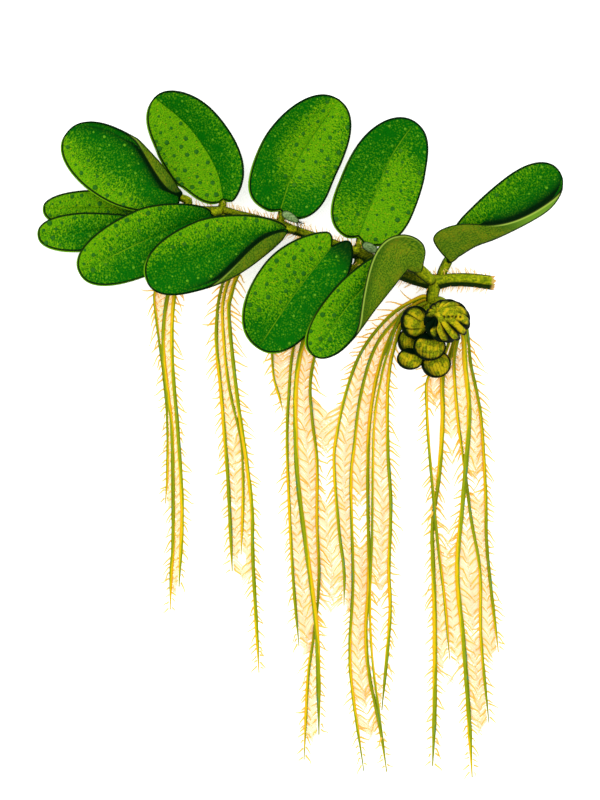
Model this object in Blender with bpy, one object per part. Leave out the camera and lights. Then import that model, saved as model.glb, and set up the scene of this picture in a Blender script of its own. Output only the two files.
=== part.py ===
"""A salvinia plant, a small floating fern, cut off at one end of its stem and laid flat.

X runs along the stem, Y from the tips of the submerged leaves up to the floating leaves, and Z up from the
surface that the plant lies on. Every length below is in millimetres and is turned to metres as a mesh is made.
"""

import math
from dataclasses import dataclass

import bmesh
import bpy
from mathutils import Vector

MM = 0.001
UP = Vector((0, 0, 1))
SMOOTH_ANGLE = math.radians(50)
CURVE_STEPS = 24  # between two points of a route
SLOPE_STEPS = 60  # across half a leaf
# From the frame in which the plant was laid out to one whose origin is under the middle of its box.
SHIFT = Vector((-0.0435, -0.1055, 0.015))

# Stem
STEM_RADIUS_CUT_END = 0.75
STEM_RADIUS_TIP = 0.32
STEM_HEIGHT_CUT_END = 1.15
STEM_HEIGHT_TIP = 0.8
NODE_SWELLING = 0.14
NODE_LENGTH = 0.9
NODE_PLACES = ((13.4, 15.3), (6.2, 18.0), (-2.0, 20.95), (-7.8, 22.4), (-11.4, 22.65))
STEM_ROUTE = (
    (19.4, 15.2), (17.0, 15.5), (15.0, 15.5), (13.4, 15.3), (11.5, 15.6), (9.7, 16.3), (7.6, 17.3), (6.2, 18.0),
    (2.5, 19.4), (0.0, 20.3), (-2.0, 20.95), (-5.0, 21.8), (-7.8, 22.4), (-11.4, 22.65), (-13.6, 22.5),
)
STEM_SIDES = 8
STEM_STATIONS = 22
STEM_POINT = 0.35  # length and radius of the growing tip beyond the route's end
STEM_POINT_RADIUS = 0.15

# Floating leaves
LEAF_THICKNESS = 0.42
PETIOLE_RADIUS = 0.4
PETIOLE_WAIST = 0.85  # its radius there against the foot's
PETIOLE_WAIST_AT = 0.6
PLAIN_STEPS = 3  # points across a half that lies open
FOLD_STEPS = 4  # points across a margin that is turned over
FOLD_INSIDE = 0.45  # where the one point inside a fold lies, as a share of the way to it
FOLD_MOST = 168  # degrees
RIM_THINNING = 0.5  # thickness lost on the way from midrib to margin
LOBE_POWER = 6  # how fast the basal lobes end along the blade
BLADE_STATIONS = (0.03, 0.1, 0.22, 0.36, 0.5, 0.64, 0.78, 0.89, 0.96, 0.995)
TIP_BLUNTNESS = 2.3

# Submerged leaves
FILAMENT_RADIUS = 0.2
HAIR_REACH = 1.1
HAIR_SLOPE = 1.25
HAIR_SPACING = 3.1
FILAMENT_TIP = 0.05
STALK_RADIUS = 0.5
STALK_SIDES = 8
STALK_STATIONS = 4
LAYER_HEIGHTS = (0.2, 0.75, 1.3, 1.85)

# Sporocarps and buds, each lofted from near one pole to near the other
RIB_DEPTH = 0.1
MANY_RIBS = 8  # a body with more than this is large, and gets one more ring
POLE_GAP = 0.08  # of the way round from pole to pole
BUD_SIDES = 8
BUD_RINGS = 6

GREEN = (0.09, 0.35, 0.01)
OLIVE = (0.31, 0.33, 0.01)
STRAW = (0.62, 0.47, 0.05)
GREY_GREEN = (0.2, 0.33, 0.1)


@dataclass
class Blade:
    """One floating leaf. Left and right are as seen from its petiole, looking to its tip."""

    foot: tuple  # where the petiole leaves the stem
    midrib: tuple  # points from the blade's base to its tip
    left: float  # greatest half widths
    right: float
    widest: float = 0.45  # how far along the midrib the blade is widest
    base_bluntness: tuple = (2.3, 2.3)  # of each half; 2 is an ellipse's end, and less is more pointed
    left_tilt: float = 8  # degrees that each half rises from the midrib
    right_tilt: float = 8
    cup: float = 10  # degrees by which each half curls up on its way out
    lobes: tuple = (0.4, 0.4)  # how far its base reaches back beside the petiole, left and right
    folded: str = ""  # the side whose margin is turned up and back over the blade
    roll: float = 0.0  # width of the turned margin all along
    lobe: float = 0.0  # width that it has besides near the base
    fade: float = 1.0  # how fast that extra width goes towards the tip
    bend: float = 0.5  # radius of the fold


LEAVES = {
    "leaf_tip_upper": Blade(
        foot=(-14.3, 22.6, 0.75), midrib=((-15.6, 22.7, 0.6), (-20.5, 22.7, 0.25), (-25.8, 22.6, 0.5)),
        left=2.1, right=1.9, cup=6, left_tilt=4, right_tilt=6,
    ),
    "leaf_tip_lower": Blade(
        foot=(-14.0, 21.7, 1.15), midrib=((-15.4, 21.3, 1.25), (-20.5, 20.4, 1.15), (-26.3, 20.0, 0.9)),
        left=2.0, right=2.0, widest=0.58, base_bluntness=(2.0, 1.5), cup=6, left_tilt=6, right_tilt=4,
    ),
    "leaf_5_upper": Blade(
        foot=(-11.3, 23.5, 1.4), midrib=((-12.0, 23.7, 1.75), (-18.0, 26.2, 1.3), (-23.5, 30.1, 1.0)),
        left=3.2, right=3.8, widest=0.5, base_bluntness=(2.0, 1.35), left_tilt=3, right_tilt=4, cup=5,
        lobes=(0.4, 0.4), folded="right", roll=1.0, lobe=7.8, fade=4.6,
    ),
    "leaf_4_lower": Blade(
        foot=(-8.2, 22.3, 2.1), midrib=((-8.8, 22.1, 2.2), (-15.5, 19.4, 2.4), (-22.1, 16.2, 2.0)),
        left=3.4, right=3.2, base_bluntness=(2.3, 1.5), left_tilt=1, right_tilt=10, cup=6,
    ),
    "leaf_4_upper": Blade(
        foot=(-7.75, 23.25, 1.15),
        midrib=((-7.65, 23.45, 1.1), (-8.5, 26.8, 0.4), (-11.1, 30.8, 0.24), (-14.6, 33.8, 0.9)),
        left=4.5, right=3.7, widest=0.42, left_tilt=3, right_tilt=30, lobes=(0.3, 0.7),
    ),
    "leaf_3_lower": Blade(
        foot=(-0.75, 20.55, 2.2), midrib=((-1.3, 20.7, 2.2), (-5.3, 19.6, 2.6), (-10.5, 17.5, 3.3), (-15.3, 15.3, 3.3)),
        left=3.25, right=3.6, widest=0.54, base_bluntness=(1.6, 1.4), left_tilt=4, right_tilt=12, lobes=(0.2, 0.2),
        folded="left", roll=0.2, lobe=5.0, fade=2.0, bend=0.4,
    ),
    "leaf_3_upper": Blade(
        foot=(-1.85, 21.9, 1.25),
        midrib=((-2.0, 22.4, 1.3), (-0.6, 26.7, 0.35), (0.9, 29.4, 0.28), (3.9, 33.6, 1.2)),
        left=4.5, right=4.2, widest=0.34, base_bluntness=(4.0, 2.8), left_tilt=22, right_tilt=3, lobes=(0.6, 0.6),
    ),
    "leaf_2_lower": Blade(
        foot=(5.5, 18.4, 2.45), midrib=((3.2, 18.9, 2.45), (-0.6, 14.0, 2.35), (-4.2, 8.6, 2.4)),
        left=3.8, right=4.5, base_bluntness=(2.6, 1.9), left_tilt=10, right_tilt=16, lobes=(1.7, 1.3),
    ),
    "leaf_2_upper": Blade(
        foot=(5.95, 19.2, 1.3),
        midrib=((5.8, 19.75, 1.2), (7.3, 23.6, 0.35), (9.1, 27.8, 0.28), (11.5, 31.4, 1.1)),
        left=4.1, right=4.35, widest=0.35, base_bluntness=(3.4, 2.6), left_tilt=16, right_tilt=4, lobes=(0.6, 0.6),
    ),
    "leaf_1_lower": Blade(
        foot=(12.9, 15.6, 2.6),
        midrib=((11.8, 17.0, 2.9), (9.8, 17.5, 3.4), (5.9, 14.2, 3.6), (2.6, 9.9, 3.6), (1.1, 8.0, 3.7)),
        left=2.5, right=2.3, widest=0.7, base_bluntness=(1.9, 1.9), left_tilt=4, right_tilt=10,
        folded="left", roll=0.7, lobe=11.2, fade=2.2, bend=0.7,
    ),
    "leaf_1_upper": Blade(
        foot=(14.2, 16.6, 1.4),
        midrib=((14.6, 17.4, 1.3), (16.5, 20.0, 0.8), (18.9, 21.8, 0.5), (23.4, 24.8, 0.3), (26.1, 26.3, 0.6)),
        left=2.45, right=2.8, widest=0.72, base_bluntness=(1.5, 1.55), left_tilt=8, right_tilt=4, lobes=(0.0, 0.15),
        folded="right", roll=1.2, lobe=18.0, fade=5.0,
    ),
}

# Each filament's points run from its stalk to its tip. Its layer and the length without hairs at its top follow.
FILAMENTS = {
    "filament_4a": (
        ((-10.6, 19.6), (-13.0, 17.3), (-14.5, 14.5), (-14.4, 11.7), (-13.7, 6.2), (-13.3, 1.5), (-13.3, -3.6),
         (-13.5, -6.9)), 0, 4.5),
    "filament_4b": (
        ((-10.3, 19.3), (-12.2, 16.8), (-13.3, 13.7), (-13.7, 9.1), (-13.2, 4.0), (-12.8, 0.2), (-12.7, -10.0),
         (-12.9, -13.8), (-13.0, -17.5)), 1, 4.5),
    "filament_4c": (
        ((-10.0, 19.1), (-11.6, 16.9), (-12.6, 13.7), (-12.8, 7.9), (-12.2, 0.2), (-11.8, -7.5), (-12.1, -15.2)), 2, 4.5),
    "filament_3a": (
        ((-4.6, 18.6), (-6.7, 17.0), (-7.9, 14.5), (-8.4, 10.0), (-7.9, 4.0), (-7.2, -4.9), (-6.8, -13.7)), 0, 4.2),
    "filament_3b": (
        ((-4.4, 18.3), (-6.6, 16.5), (-7.7, 13.3), (-7.6, 9.1), (-7.1, 4.8), (-6.2, 1.0), (-5.8, -1.3), (-5.7, -6.2),
         (-5.9, -12.0)), 1, 4.2),
    "filament_3c": (
        ((-4.1, 18.1), (-5.9, 16.7), (-6.9, 14.0), (-7.1, 11.7), (-6.3, 4.0), (-5.3, -3.0), (-4.8, -7.5),
         (-4.7, -12.6), (-4.1, -23.8)), 2, 4.2),
    "filament_2a": (
        ((3.7, 15.7), (-0.6, 13.0), (-2.6, 10.4), (-2.7, 6.3), (-2.1, 3.9), (-1.7, 2.3)), 0, 6.0),
    "filament_2b": (
        ((3.9, 15.4), (0.6, 12.4), (-0.7, 8.5), (-1.1, 4.2), (-1.3, -0.3), (-1.1, -6.6), (-0.7, -14.2),
         (-0.1, -21.2)), 1, 6.0),
    "filament_2c": (
        ((4.2, 15.2), (1.6, 12.1), (0.3, 9.2), (-0.4, 4.9), (-0.4, -1.4), (0.0, -6.6), (1.5, -17.8), (1.8, -22.4),
         (1.9, -30.0)), 2, 6.0),
    "filament_2d": (
        ((4.4, 15.0), (2.4, 11.3), (1.1, 5.9), (1.2, 1.8), (1.7, -2.6), (1.7, -8.7), (1.9, -14.2), (1.5, -19.3),
         (0.8, -24.4), (0.4, -32.6)), 0, 6.0),
    "filament_1a": (
        ((12.1, 13.8), (9.1, 12.0), (6.3, 8.6), (4.7, 4.6), (3.7, 0.2), (3.4, -3.0), (3.9, -9.5), (4.4, -13.5),
         (4.4, -17.1)), 2, 2.2),
    "filament_1b": (
        ((12.1, 13.5), (10.2, 12.1), (7.6, 8.9), (6.1, 4.1), (5.4, -1.4), (5.1, -4.9), (5.3, -14.5), (5.0, -20.9),
         (5.2, -25.2), (6.4, -33.7)), 1, 2.8),
    "filament_1c": (
        ((12.3, 13.2), (10.0, 11.5), (8.1, 7.3), (7.1, 2.4), (6.8, -3.0), (6.9, -14.0), (6.6, -19.5), (6.9, -23.8),
         (8.0, -29.2), (8.7, -33.8)), 0, 3.0),
    "filament_1d": (
        ((12.4, 13.15), (10.1, 11.85), (8.9, 8.6), (8.1, 5.5), (7.4, 0.6), (7.2, -10.5), (7.0, -17.0), (7.3, -23.0),
         (8.4, -31.0)), 2, 5.5),
    "filament_1e": (
        ((12.6, 12.8), (10.6, 11.6), (9.5, 9.2), (8.8, 5.0), (8.8, -1.5), (9.1, -7.0), (8.9, -13.4), (9.0, -18.4),
         (8.2, -27.6)), 1, 5.5),
    "filament_1f": (
        ((13.3, 12.9), (15.0, 10.5), (14.3, 7.6), (12.8, 5.6), (12.7, 2.8), (13.0, -2.2), (13.8, -10.8),
         (14.5, -16.6), (15.0, -22.5)), 1, 8.0),
    "filament_1g": (
        ((13.6, 12.9), (15.5, 10.6), (15.1, 8.0), (14.3, 5.9), (14.3, 1.8), (14.0, -3.4), (13.3, -9.5),
         (13.5, -18.1), (13.5, -27.0), (13.3, -33.2)), 0, 8.0),
    "filament_1h": (
        ((13.8, 13.2), (15.8, 10.9), (15.4, 7.2), (15.8, 1.5), (16.4, -2.7), (17.1, -8.3), (18.0, -13.7),
         (18.1, -20.3), (18.9, -28.8)), 2, 6.0),
    "filament_1i": (
        ((14.1, 13.3), (16.1, 11.0), (16.5, 6.9), (16.9, 1.8), (16.3, -6.2), (15.7, -13.5), (16.3, -20.3),
         (16.8, -27.0), (17.2, -34.2)), 3, 6.0),
    "filament_1j": (
        ((14.4, 13.5), (16.5, 11.2), (17.1, 7.2), (18.1, 2.0), (18.6, -5.5), (18.7, -10.6), (19.2, -15.9),
         (19.9, -21.8)), 0, 6.0),
}

# Each stalk runs from its node on the stem to where its filaments part.
STALKS = {
    "submerged_stalk_4": ((-8.25, 21.55, 0.75), (-9.0, 20.85, 0.75), (-9.9, 20.0, 0.75)),
    "submerged_stalk_3": ((-2.6, 20.0, 0.7), (-3.1, 19.5, 0.75), (-3.8, 18.9, 0.75)),
    "submerged_stalk_2": ((5.7, 16.95, 0.75), (5.15, 16.5, 0.75), (4.5, 15.9, 0.75)),
    "submerged_stalk_1": ((13.3, 14.15, 1.1), (13.2, 13.9, 1.1), (13.1, 13.6, 1.1)),
}

# Centre, the three half sizes, the direction of the ribs' pole, and how many ribs.
SPOROCARPS = {
    "sporocarp_1": ((14.6, 11.35, 4.65), (2.35, 2.2, 1.9), (-0.35, 0.4, 0.85), 12),
    "sporocarp_2": ((11.4, 11.3, 2.35), (1.3, 1.6, 1.35), (-0.2, -0.3, 0.9), 8),
    "sporocarp_3": ((10.7, 9.2, 1.0), (0.7, 0.75, 0.7), (0, -0.5, 0.8), 8),
    "sporocarp_4": ((13.0, 8.9, 3.08), (1.4, 1.35, 1.0), (0, -0.8, 0.6), 8),
    "sporocarp_5": ((11.0, 7.6, 2.25), (1.3, 1.05, 0.8), (-0.1, -0.9, 0.4), 8),
    "sporocarp_6": ((13.6, 7.1, 1.85), (1.4, 1.35, 0.85), (0, -0.9, 0.4), 8),
}

BUDS = {
    "bud_3": ((-0.95, 21.75, 2.3), (0.95, 0.4, 0.35), -30),
    "bud_2": ((7.1, 18.65, 2.25), (0.97, 0.42, 0.35), -27),
}


def clear_scene():
    for obj in list(bpy.data.objects):
        bpy.data.objects.remove(obj, do_unlink=True)


def material(name, colour, roughness):
    made = bpy.data.materials.new(name)
    made.use_nodes = True
    shader = made.node_tree.nodes["Principled BSDF"]
    shader.inputs["Base Color"].default_value = (*colour, 1)
    shader.inputs["Roughness"].default_value = roughness
    shader.inputs["Metallic"].default_value = 0
    return made


def loft(name, sections, colour, roughness):
    """One closed body, extruded from the first section on through the others, each a loop of as many points."""
    mesh = bmesh.new()
    start = [mesh.verts.new((point + SHIFT) * MM) for point in sections[0]]
    end = mesh.faces.new(start)
    for section in sections[1:]:
        end = bmesh.ops.extrude_discrete_faces(mesh, faces=[end])["faces"][0]
        for corner, point in zip(end.verts, section):
            corner.co = (point + SHIFT) * MM
    mesh.faces.new(reversed(start))
    bmesh.ops.recalc_face_normals(mesh, faces=mesh.faces)
    data = bpy.data.meshes.new(name)
    mesh.to_mesh(data)
    mesh.free()
    data.shade_smooth()
    data.set_sharp_from_angle(angle=SMOOTH_ANGLE)
    data.materials.append(material(name, colour, roughness))
    obj = bpy.data.objects.new(name, data)
    bpy.context.scene.collection.objects.link(obj)
    return obj


def curve_point(points, at):
    """The point at this share of the way along a smooth curve through the points."""
    spans = len(points) - 1
    first = min(int(at * spans), spans - 1)
    share = at * spans - first
    before = points[first - 1] if first else 2 * points[0] - points[1]
    after = points[first + 2] if first + 2 <= spans else 2 * points[-1] - points[-2]
    a, b = points[first], points[first + 1]
    return 0.5 * (
        2 * a
        + (b - before) * share
        + (2 * before - 5 * a + 4 * b - after) * share**2
        + (3 * a - before - 3 * b + after) * share**3
    )


def route(points, stations):
    """Places, headings and distances of evenly spaced stations on the smooth curve through the points."""
    points = [Vector(point) for point in points]
    steps = CURVE_STEPS * (len(points) - 1)
    fine = [curve_point(points, i / steps) for i in range(steps + 1)]
    lengths = [0.0]
    for a, b in zip(fine, fine[1:]):
        lengths.append(lengths[-1] + (b - a).length)
    found = []
    i = 0
    for station in stations:
        wanted = station * lengths[-1]
        while i < steps - 1 and lengths[i + 1] < wanted:
            i += 1
        share = (wanted - lengths[i]) / (lengths[i + 1] - lengths[i])
        found.append((fine[i].lerp(fine[i + 1], share), (fine[i + 1] - fine[i]).normalized(), wanted))
    return found


def even(count):
    return [i / (count - 1) for i in range(count)]


def axes(heading):
    """The direction to the left of a heading, level with the surface, and the one upwards from both."""
    left = UP.cross(heading).normalized()
    return left, heading.cross(left)


def ellipse(centre, heading, wide, high, sides):
    left, lift = axes(heading)
    turns = [2 * math.pi * k / sides for k in range(sides)]
    return [centre + left * wide * math.cos(turn) + lift * high * math.sin(turn) for turn in turns]


def stem_radius(at, place):
    """The stem thins from its cut end to its tip, and swells where leaves leave it."""
    radius = STEM_RADIUS_CUT_END + (STEM_RADIUS_TIP - STEM_RADIUS_CUT_END) * at
    for node in NODE_PLACES:
        distance = (place.xy - Vector(node)).length
        radius += NODE_SWELLING * math.exp(-((distance / NODE_LENGTH) ** 2))
    return radius


def make_stem():
    fall = (STEM_HEIGHT_TIP - STEM_HEIGHT_CUT_END) / (len(STEM_ROUTE) - 1)
    points = [(x, y, STEM_HEIGHT_CUT_END + fall * i) for i, (x, y) in enumerate(STEM_ROUTE)]
    stations = route(points, even(STEM_STATIONS))
    sections = []
    for at, (place, heading, _) in zip(even(STEM_STATIONS), stations):
        radius = stem_radius(at, place)
        sections.append(ellipse(place, heading, radius, radius, STEM_SIDES))
    place, heading, _ = stations[-1]
    sections.append(
        ellipse(place + heading * STEM_POINT, heading, STEM_POINT_RADIUS, STEM_POINT_RADIUS, STEM_SIDES)
    )
    loft("rhizome", sections, OLIVE, 0.6)


def blade_share(blade, side, at):
    """How wide a half is at this share of the blade's length, from 0 at its ends to 1."""
    if at < blade.widest:
        reach, bluntness = blade.widest, blade.base_bluntness[side == "right"]
    else:
        reach, bluntness = 1 - blade.widest, TIP_BLUNTNESS
    return max(0.0, 1 - (abs(at - blade.widest) / reach) ** bluntness) ** (1 / bluntness)


def half_section(blade, side, at):
    """Distances out and up of points on one half's middle surface, and the slope there, from midrib to margin."""
    share = blade_share(blade, side, at)
    width = share * (blade.left if side == "left" else blade.right)
    slope = math.radians(blade.left_tilt if side == "left" else blade.right_tilt)
    curl = math.radians(blade.cup)
    turned = 0.0
    flat = width
    places = [width * k / PLAIN_STEPS for k in range(1, PLAIN_STEPS + 1)]
    if blade.folded == side:
        turned = share * (blade.roll + blade.lobe * (1 - at) ** blade.fade)
        flat = max(0.1, width - blade.bend * math.sin(min(turned / blade.bend, math.pi / 2)))
        places = [FOLD_INSIDE * flat, flat] + [flat + turned * k / FOLD_STEPS for k in range(1, FOLD_STEPS + 1)]
    out = up = 0.0
    found = []
    step = (flat + turned) / SLOPE_STEPS
    for i in range(SLOPE_STEPS + 1):
        gone = step * i
        fold = min(max(gone - flat, 0) / blade.bend, math.radians(FOLD_MOST))
        angle = slope + curl * min(gone / flat, 1) + fold
        while len(found) < len(places) and places[len(found)] <= gone + 1e-6:
            found.append((out, up, angle))
        out += math.cos(angle) * step
        up += math.sin(angle) * step
    return found


def blade_section(blade, place, heading, at):
    """A closed loop round the blade: its upper surface from right to left, and its underside back."""
    left, lift = axes(heading)
    thick = LEAF_THICKNESS * min(1, 0.5 + 2 * blade_share(blade, "left", at)) / 2
    top, bottom = [place + lift * thick], [place - lift * thick]
    for side, sign in (("left", 1), ("right", -1)):
        points = half_section(blade, side, at)
        for i, (out, up, angle) in enumerate(points):
            back = blade.lobes[side == "right"] * (1 - at) ** LOBE_POWER * (i + 1) / len(points)
            middle = place + left * sign * out + lift * up - heading * back
            normal = lift * math.cos(angle) - left * sign * math.sin(angle)
            rim = i == len(points) - 1
            depth = 0 if rim else thick * (1 - RIM_THINNING * (i + 1) / len(points))
            if sign > 0:
                top.append(middle + normal * depth)
                if not rim:
                    bottom.append(middle - normal * depth)
            else:
                top.insert(0, middle + normal * depth)
                if not rim:
                    bottom.insert(0, middle - normal * depth)
    return top + bottom[::-1]


def petiole_section(blade, place, heading, radius):
    """A round loop with as many points as the blade's sections, in the same order."""
    counts = [FOLD_STEPS + 2 if blade.folded == side else PLAIN_STEPS for side in ("left", "right")]
    left, lift = axes(heading)
    over = sum(counts) + 1
    turns = [math.pi * (1 - k / (over - 1)) for k in range(over)]
    turns += [-math.pi * k / (over - 1) for k in range(1, over - 1)]
    return [place + left * radius * math.cos(turn) + lift * radius * math.sin(turn) for turn in turns]


def make_leaf(name, blade):
    foot, base = Vector(blade.foot), Vector(blade.midrib[0])
    heading = (base - foot).normalized()
    sections = [
        petiole_section(blade, foot, heading, PETIOLE_RADIUS),
        petiole_section(blade, foot.lerp(base, PETIOLE_WAIST_AT), heading, PETIOLE_WAIST * PETIOLE_RADIUS),
    ]
    for at, (place, heading, _) in zip(BLADE_STATIONS, route(blade.midrib, BLADE_STATIONS)):
        sections.append(blade_section(blade, place, heading, at))
    loft(name, sections, GREEN, 0.45)


def make_filament(name, points, layer, bare):
    """A thread with a fringe of teeth that slope to its tip, out to where its hairs end."""
    height = LAYER_HEIGHTS[layer]
    points = [(x, y, height) for x, y in points]
    length = route(points, [1.0])[0][2]
    teeth = round(length / HAIR_SPACING)
    stations = even(2 * teeth + 1)
    sections = []
    for i, (place, heading, gone) in enumerate(route(points, stations)):
        left, lift = axes(heading)
        tooth = i % 2 == 1 and gone > bare
        last = i == len(stations) - 1
        reach = HAIR_REACH if tooth else FILAMENT_RADIUS
        reach = FILAMENT_TIP if last else reach
        core = FILAMENT_TIP if last else FILAMENT_RADIUS
        forward = heading * (HAIR_SLOPE if tooth else 0)
        sections.append(
            [place + left * reach + forward, place + lift * core, place - left * reach + forward, place - lift * core]
        )
    loft(name, sections, STRAW, 0.7)


def make_stalk(name, points):
    stations = route(points, even(STALK_STATIONS))
    sections = [ellipse(place, heading, STALK_RADIUS, STALK_RADIUS, STALK_SIDES) for place, heading, _ in stations]
    loft(name, sections, OLIVE, 0.6)


def pole_to_pole(rings):
    """The rings' angles from one pole, in radians."""
    return [math.pi * (POLE_GAP + (1 - 2 * POLE_GAP) * at) for at in even(rings)]


def make_sporocarp(name, centre, sizes, pole, ribs):
    """An egg shape with grooves from pole to pole."""
    pole = Vector(pole).normalized()
    across = pole.orthogonal().normalized()
    third = pole.cross(across)
    sections = []
    for tilt in pole_to_pole(6 if ribs > MANY_RIBS else 5):
        section = []
        for i in range(2 * ribs):
            turn = math.pi * i / ribs
            girth = math.sin(tilt) * (1 - (RIB_DEPTH if i % 2 else 0))
            point = across * math.cos(turn) * girth + third * math.sin(turn) * girth - pole * math.cos(tilt)
            section.append(Vector(centre) + Vector([p * size for p, size in zip(point, sizes)]))
        sections.append(section)
    loft(name, sections, OLIVE, 0.55)


def make_bud(name, centre, sizes, turn):
    turn = math.radians(turn)
    heading = Vector((math.cos(turn), math.sin(turn), 0))
    sections = []
    for tilt in pole_to_pole(BUD_RINGS):
        place = Vector(centre) - heading * sizes[0] * math.cos(tilt)
        sections.append(ellipse(place, heading, sizes[1] * math.sin(tilt), sizes[2] * math.sin(tilt), BUD_SIDES))
    loft(name, sections, GREY_GREEN, 0.7)


def main():
    clear_scene()
    make_stem()
    for name, blade in LEAVES.items():
        make_leaf(name, blade)
    for name, points in STALKS.items():
        make_stalk(name, points)
    for name, (points, layer, bare) in FILAMENTS.items():
        make_filament(name, points, layer, bare)
    for name, (centre, sizes, pole, ribs) in SPOROCARPS.items():
        make_sporocarp(name, centre, sizes, pole, ribs)
    for name, (centre, sizes, turn) in BUDS.items():
        make_bud(name, centre, sizes, turn)


main()
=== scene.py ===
"""Dresses the solids of a salvinia plant with its leaves, stem, threads, hairs and fruits, and sets the stage."""

import math
from dataclasses import dataclass
from functools import cache

import bmesh
import bpy
import numpy as np
from bpy.props import FloatProperty, FloatVectorProperty, PointerProperty
from mathutils.kdtree import KDTree
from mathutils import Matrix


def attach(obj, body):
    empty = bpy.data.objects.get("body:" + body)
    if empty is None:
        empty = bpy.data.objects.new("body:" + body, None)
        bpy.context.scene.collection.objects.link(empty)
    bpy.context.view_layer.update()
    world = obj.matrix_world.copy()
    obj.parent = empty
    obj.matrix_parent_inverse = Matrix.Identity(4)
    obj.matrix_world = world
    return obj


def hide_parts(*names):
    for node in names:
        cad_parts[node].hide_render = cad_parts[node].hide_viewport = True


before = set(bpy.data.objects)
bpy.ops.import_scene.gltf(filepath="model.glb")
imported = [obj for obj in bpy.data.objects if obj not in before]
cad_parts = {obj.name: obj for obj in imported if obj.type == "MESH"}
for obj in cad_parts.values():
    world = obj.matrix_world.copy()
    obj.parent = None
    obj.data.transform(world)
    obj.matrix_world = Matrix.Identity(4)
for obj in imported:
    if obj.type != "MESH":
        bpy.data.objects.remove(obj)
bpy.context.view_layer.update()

bl_info = {
    "name": "Salvinia Plant",
    "version": (1, 0, 0),
    "blender": (4, 5, 0),
    "location": "3D View > Sidebar > Salvinia",
    "description": "Makes the leaves, stem, threads, hairs and fruits of a small floating fern around its solids",
    "category": "Add Mesh",
}

# Lengths are in millimetres in the plant's own layout, and turned to metres as a mesh is made.
MM = 0.001
LAYOUT = np.array((-0.0435, -0.1055, 0.015))
UP = np.array((0.0, 0.0, 1.0))
CURVE_STEPS = 24  # of a curve between two of its points
HEADING_REACH = 0.004  # of a curve's length, both ways, for its direction at a place
FLOOR_GAP = 0.03
LEFT, RIGHT = 1, -1

# Stem
STEM_RADIUS_CUT_END = 0.72
STEM_RADIUS_TIP = 0.3
STEM_HEIGHT_CUT_END = 1.15
STEM_HEIGHT_TIP = 0.8
NODE_SWELLING = 0.16
NODE_LENGTH = 0.9
NODE_PLACES = ((13.4, 15.3), (6.2, 18.0), (-2.0, 20.95), (-7.8, 22.4), (-11.4, 22.65))
STEM_ROWS = 220
STEM_SIDES = 28
TORN_CAP = (0.05, 0.35, 0.65, 0.9)  # rings that close the cut end, as shares of its radius
TEETH = 24  # round the cut end
TEETH_LENGTH = 0.35
STEM_HAIR_SHARE = 0.7  # of the places that could have one
STEM_HAIR_RADIUS = 0.05
STEM_SEED = 5
STEM_ROUTE = (
    (19.4, 15.2), (17.0, 15.5), (15.0, 15.5), (13.4, 15.3), (11.5, 15.6), (9.7, 16.3), (7.6, 17.3), (6.2, 18.0),
    (2.5, 19.4), (0.0, 20.3), (-2.0, 20.95), (-5.0, 21.8), (-7.8, 22.4), (-11.4, 22.65), (-13.6, 22.5),
)

# Floating leaves
BLADE_CELLS = 64
SLOPE_STEPS = 60  # from the midrib to the margin
TIP_BLUNTNESS = 2.3
FOLD_MOST = 168  # degrees
LEAST_OPEN = 0.35  # share of a folded half that stays flat
LOBE_POWER = 6
LOBE_NOTCH = 1.5
MIDRIB_GROOVE = (0.06, 0.16)  # depth and half width
MIDRIB_KEEL = (0.14, 0.3)  # height and half width at the base
EDGE_HALF_THICKNESS = 0.03
WAVE_HEIGHTS = (0.05, 0.03)
RIM_STEPS = 4
# Way that the rim faces where it gets a painted highlight.
GLOW_SIDE = (-0.75, -0.66)
OFF_CREST = 9
PETIOLE_ROWS = 36
PETIOLE_SIDES = 14
PETIOLE_RADIUS = 0.45  # at the stem
LEAF_SEED = 40

# Their raised dots
DOT_TRIES = 900
DOT_BLADE_LENGTH = 13.5
DOT_MIDRIB_GAP = 0.3
DOT_MARGIN_GAP = 0.35
# No raised dots where the painted fold shadow is darker than this.
DOT_DARKEST = 0.4
DOT_FLATNESS = 0.22


@dataclass
class Blade:
    """One floating leaf. Left and right are as seen from its petiole, looking to its tip."""

    foot: tuple  # where the petiole leaves the stem
    midrib: tuple  # points from the blade's base to its tip
    widths: tuple  # greatest width of the left half and of the right
    lit_tones: tuple  # how light each half is, painted light and shade over the leaf's own green, 0 dark and 1 light: left at the midrib and margin, then right
    base_lit_tone: float = 0.0  # painted light and shade added to them at the base and at the tip
    tip_lit_tone: float = 0.0
    shadow: float = 0.0  # how dark the blade is beside its folded margin
    split: float = 0.0  # 1 where the halves' painted light and shade meet in a hard line
    widest: float = 0.45  # how far along the midrib the blade is widest
    base_bluntness: tuple = (2.3, 2.3)  # of each half; 2 is an ellipse's end, and less is more pointed
    tilts: tuple = (8, 8)  # degrees that each half rises from the midrib
    cup: float = 10  # degrees by which each half curls up on its way out
    lobes: tuple = (0.4, 0.4)  # how far its base reaches back beside the petiole, left and right
    folded: int = 0  # the half whose margin is turned up and back over the blade
    roll: float = 0.0  # width of the turned margin all along
    lobe: float = 0.0  # width that it has besides near the base
    fade: float = 1.0  # how fast that extra width goes towards the tip
    bend: float = 0.5  # radius of the fold
    pale: float = 0.4  # how light the turned margin is along its edge
    pale_from: float = 0.4  # and how far along the blade that begins
    wash: float = 0.0  # how light it is all over, from the middle of the blade to the tip
    rib: float = 0.0  # strength of the line along its midrib
    rib_from: float = -1.0  # and how far along the blade that begins
    dusk: tuple = (0.0, 0.0)  # how dark the base of each half is, a painted shade
    neck: float = 0.4  # radius of the petiole where it meets the blade


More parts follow.
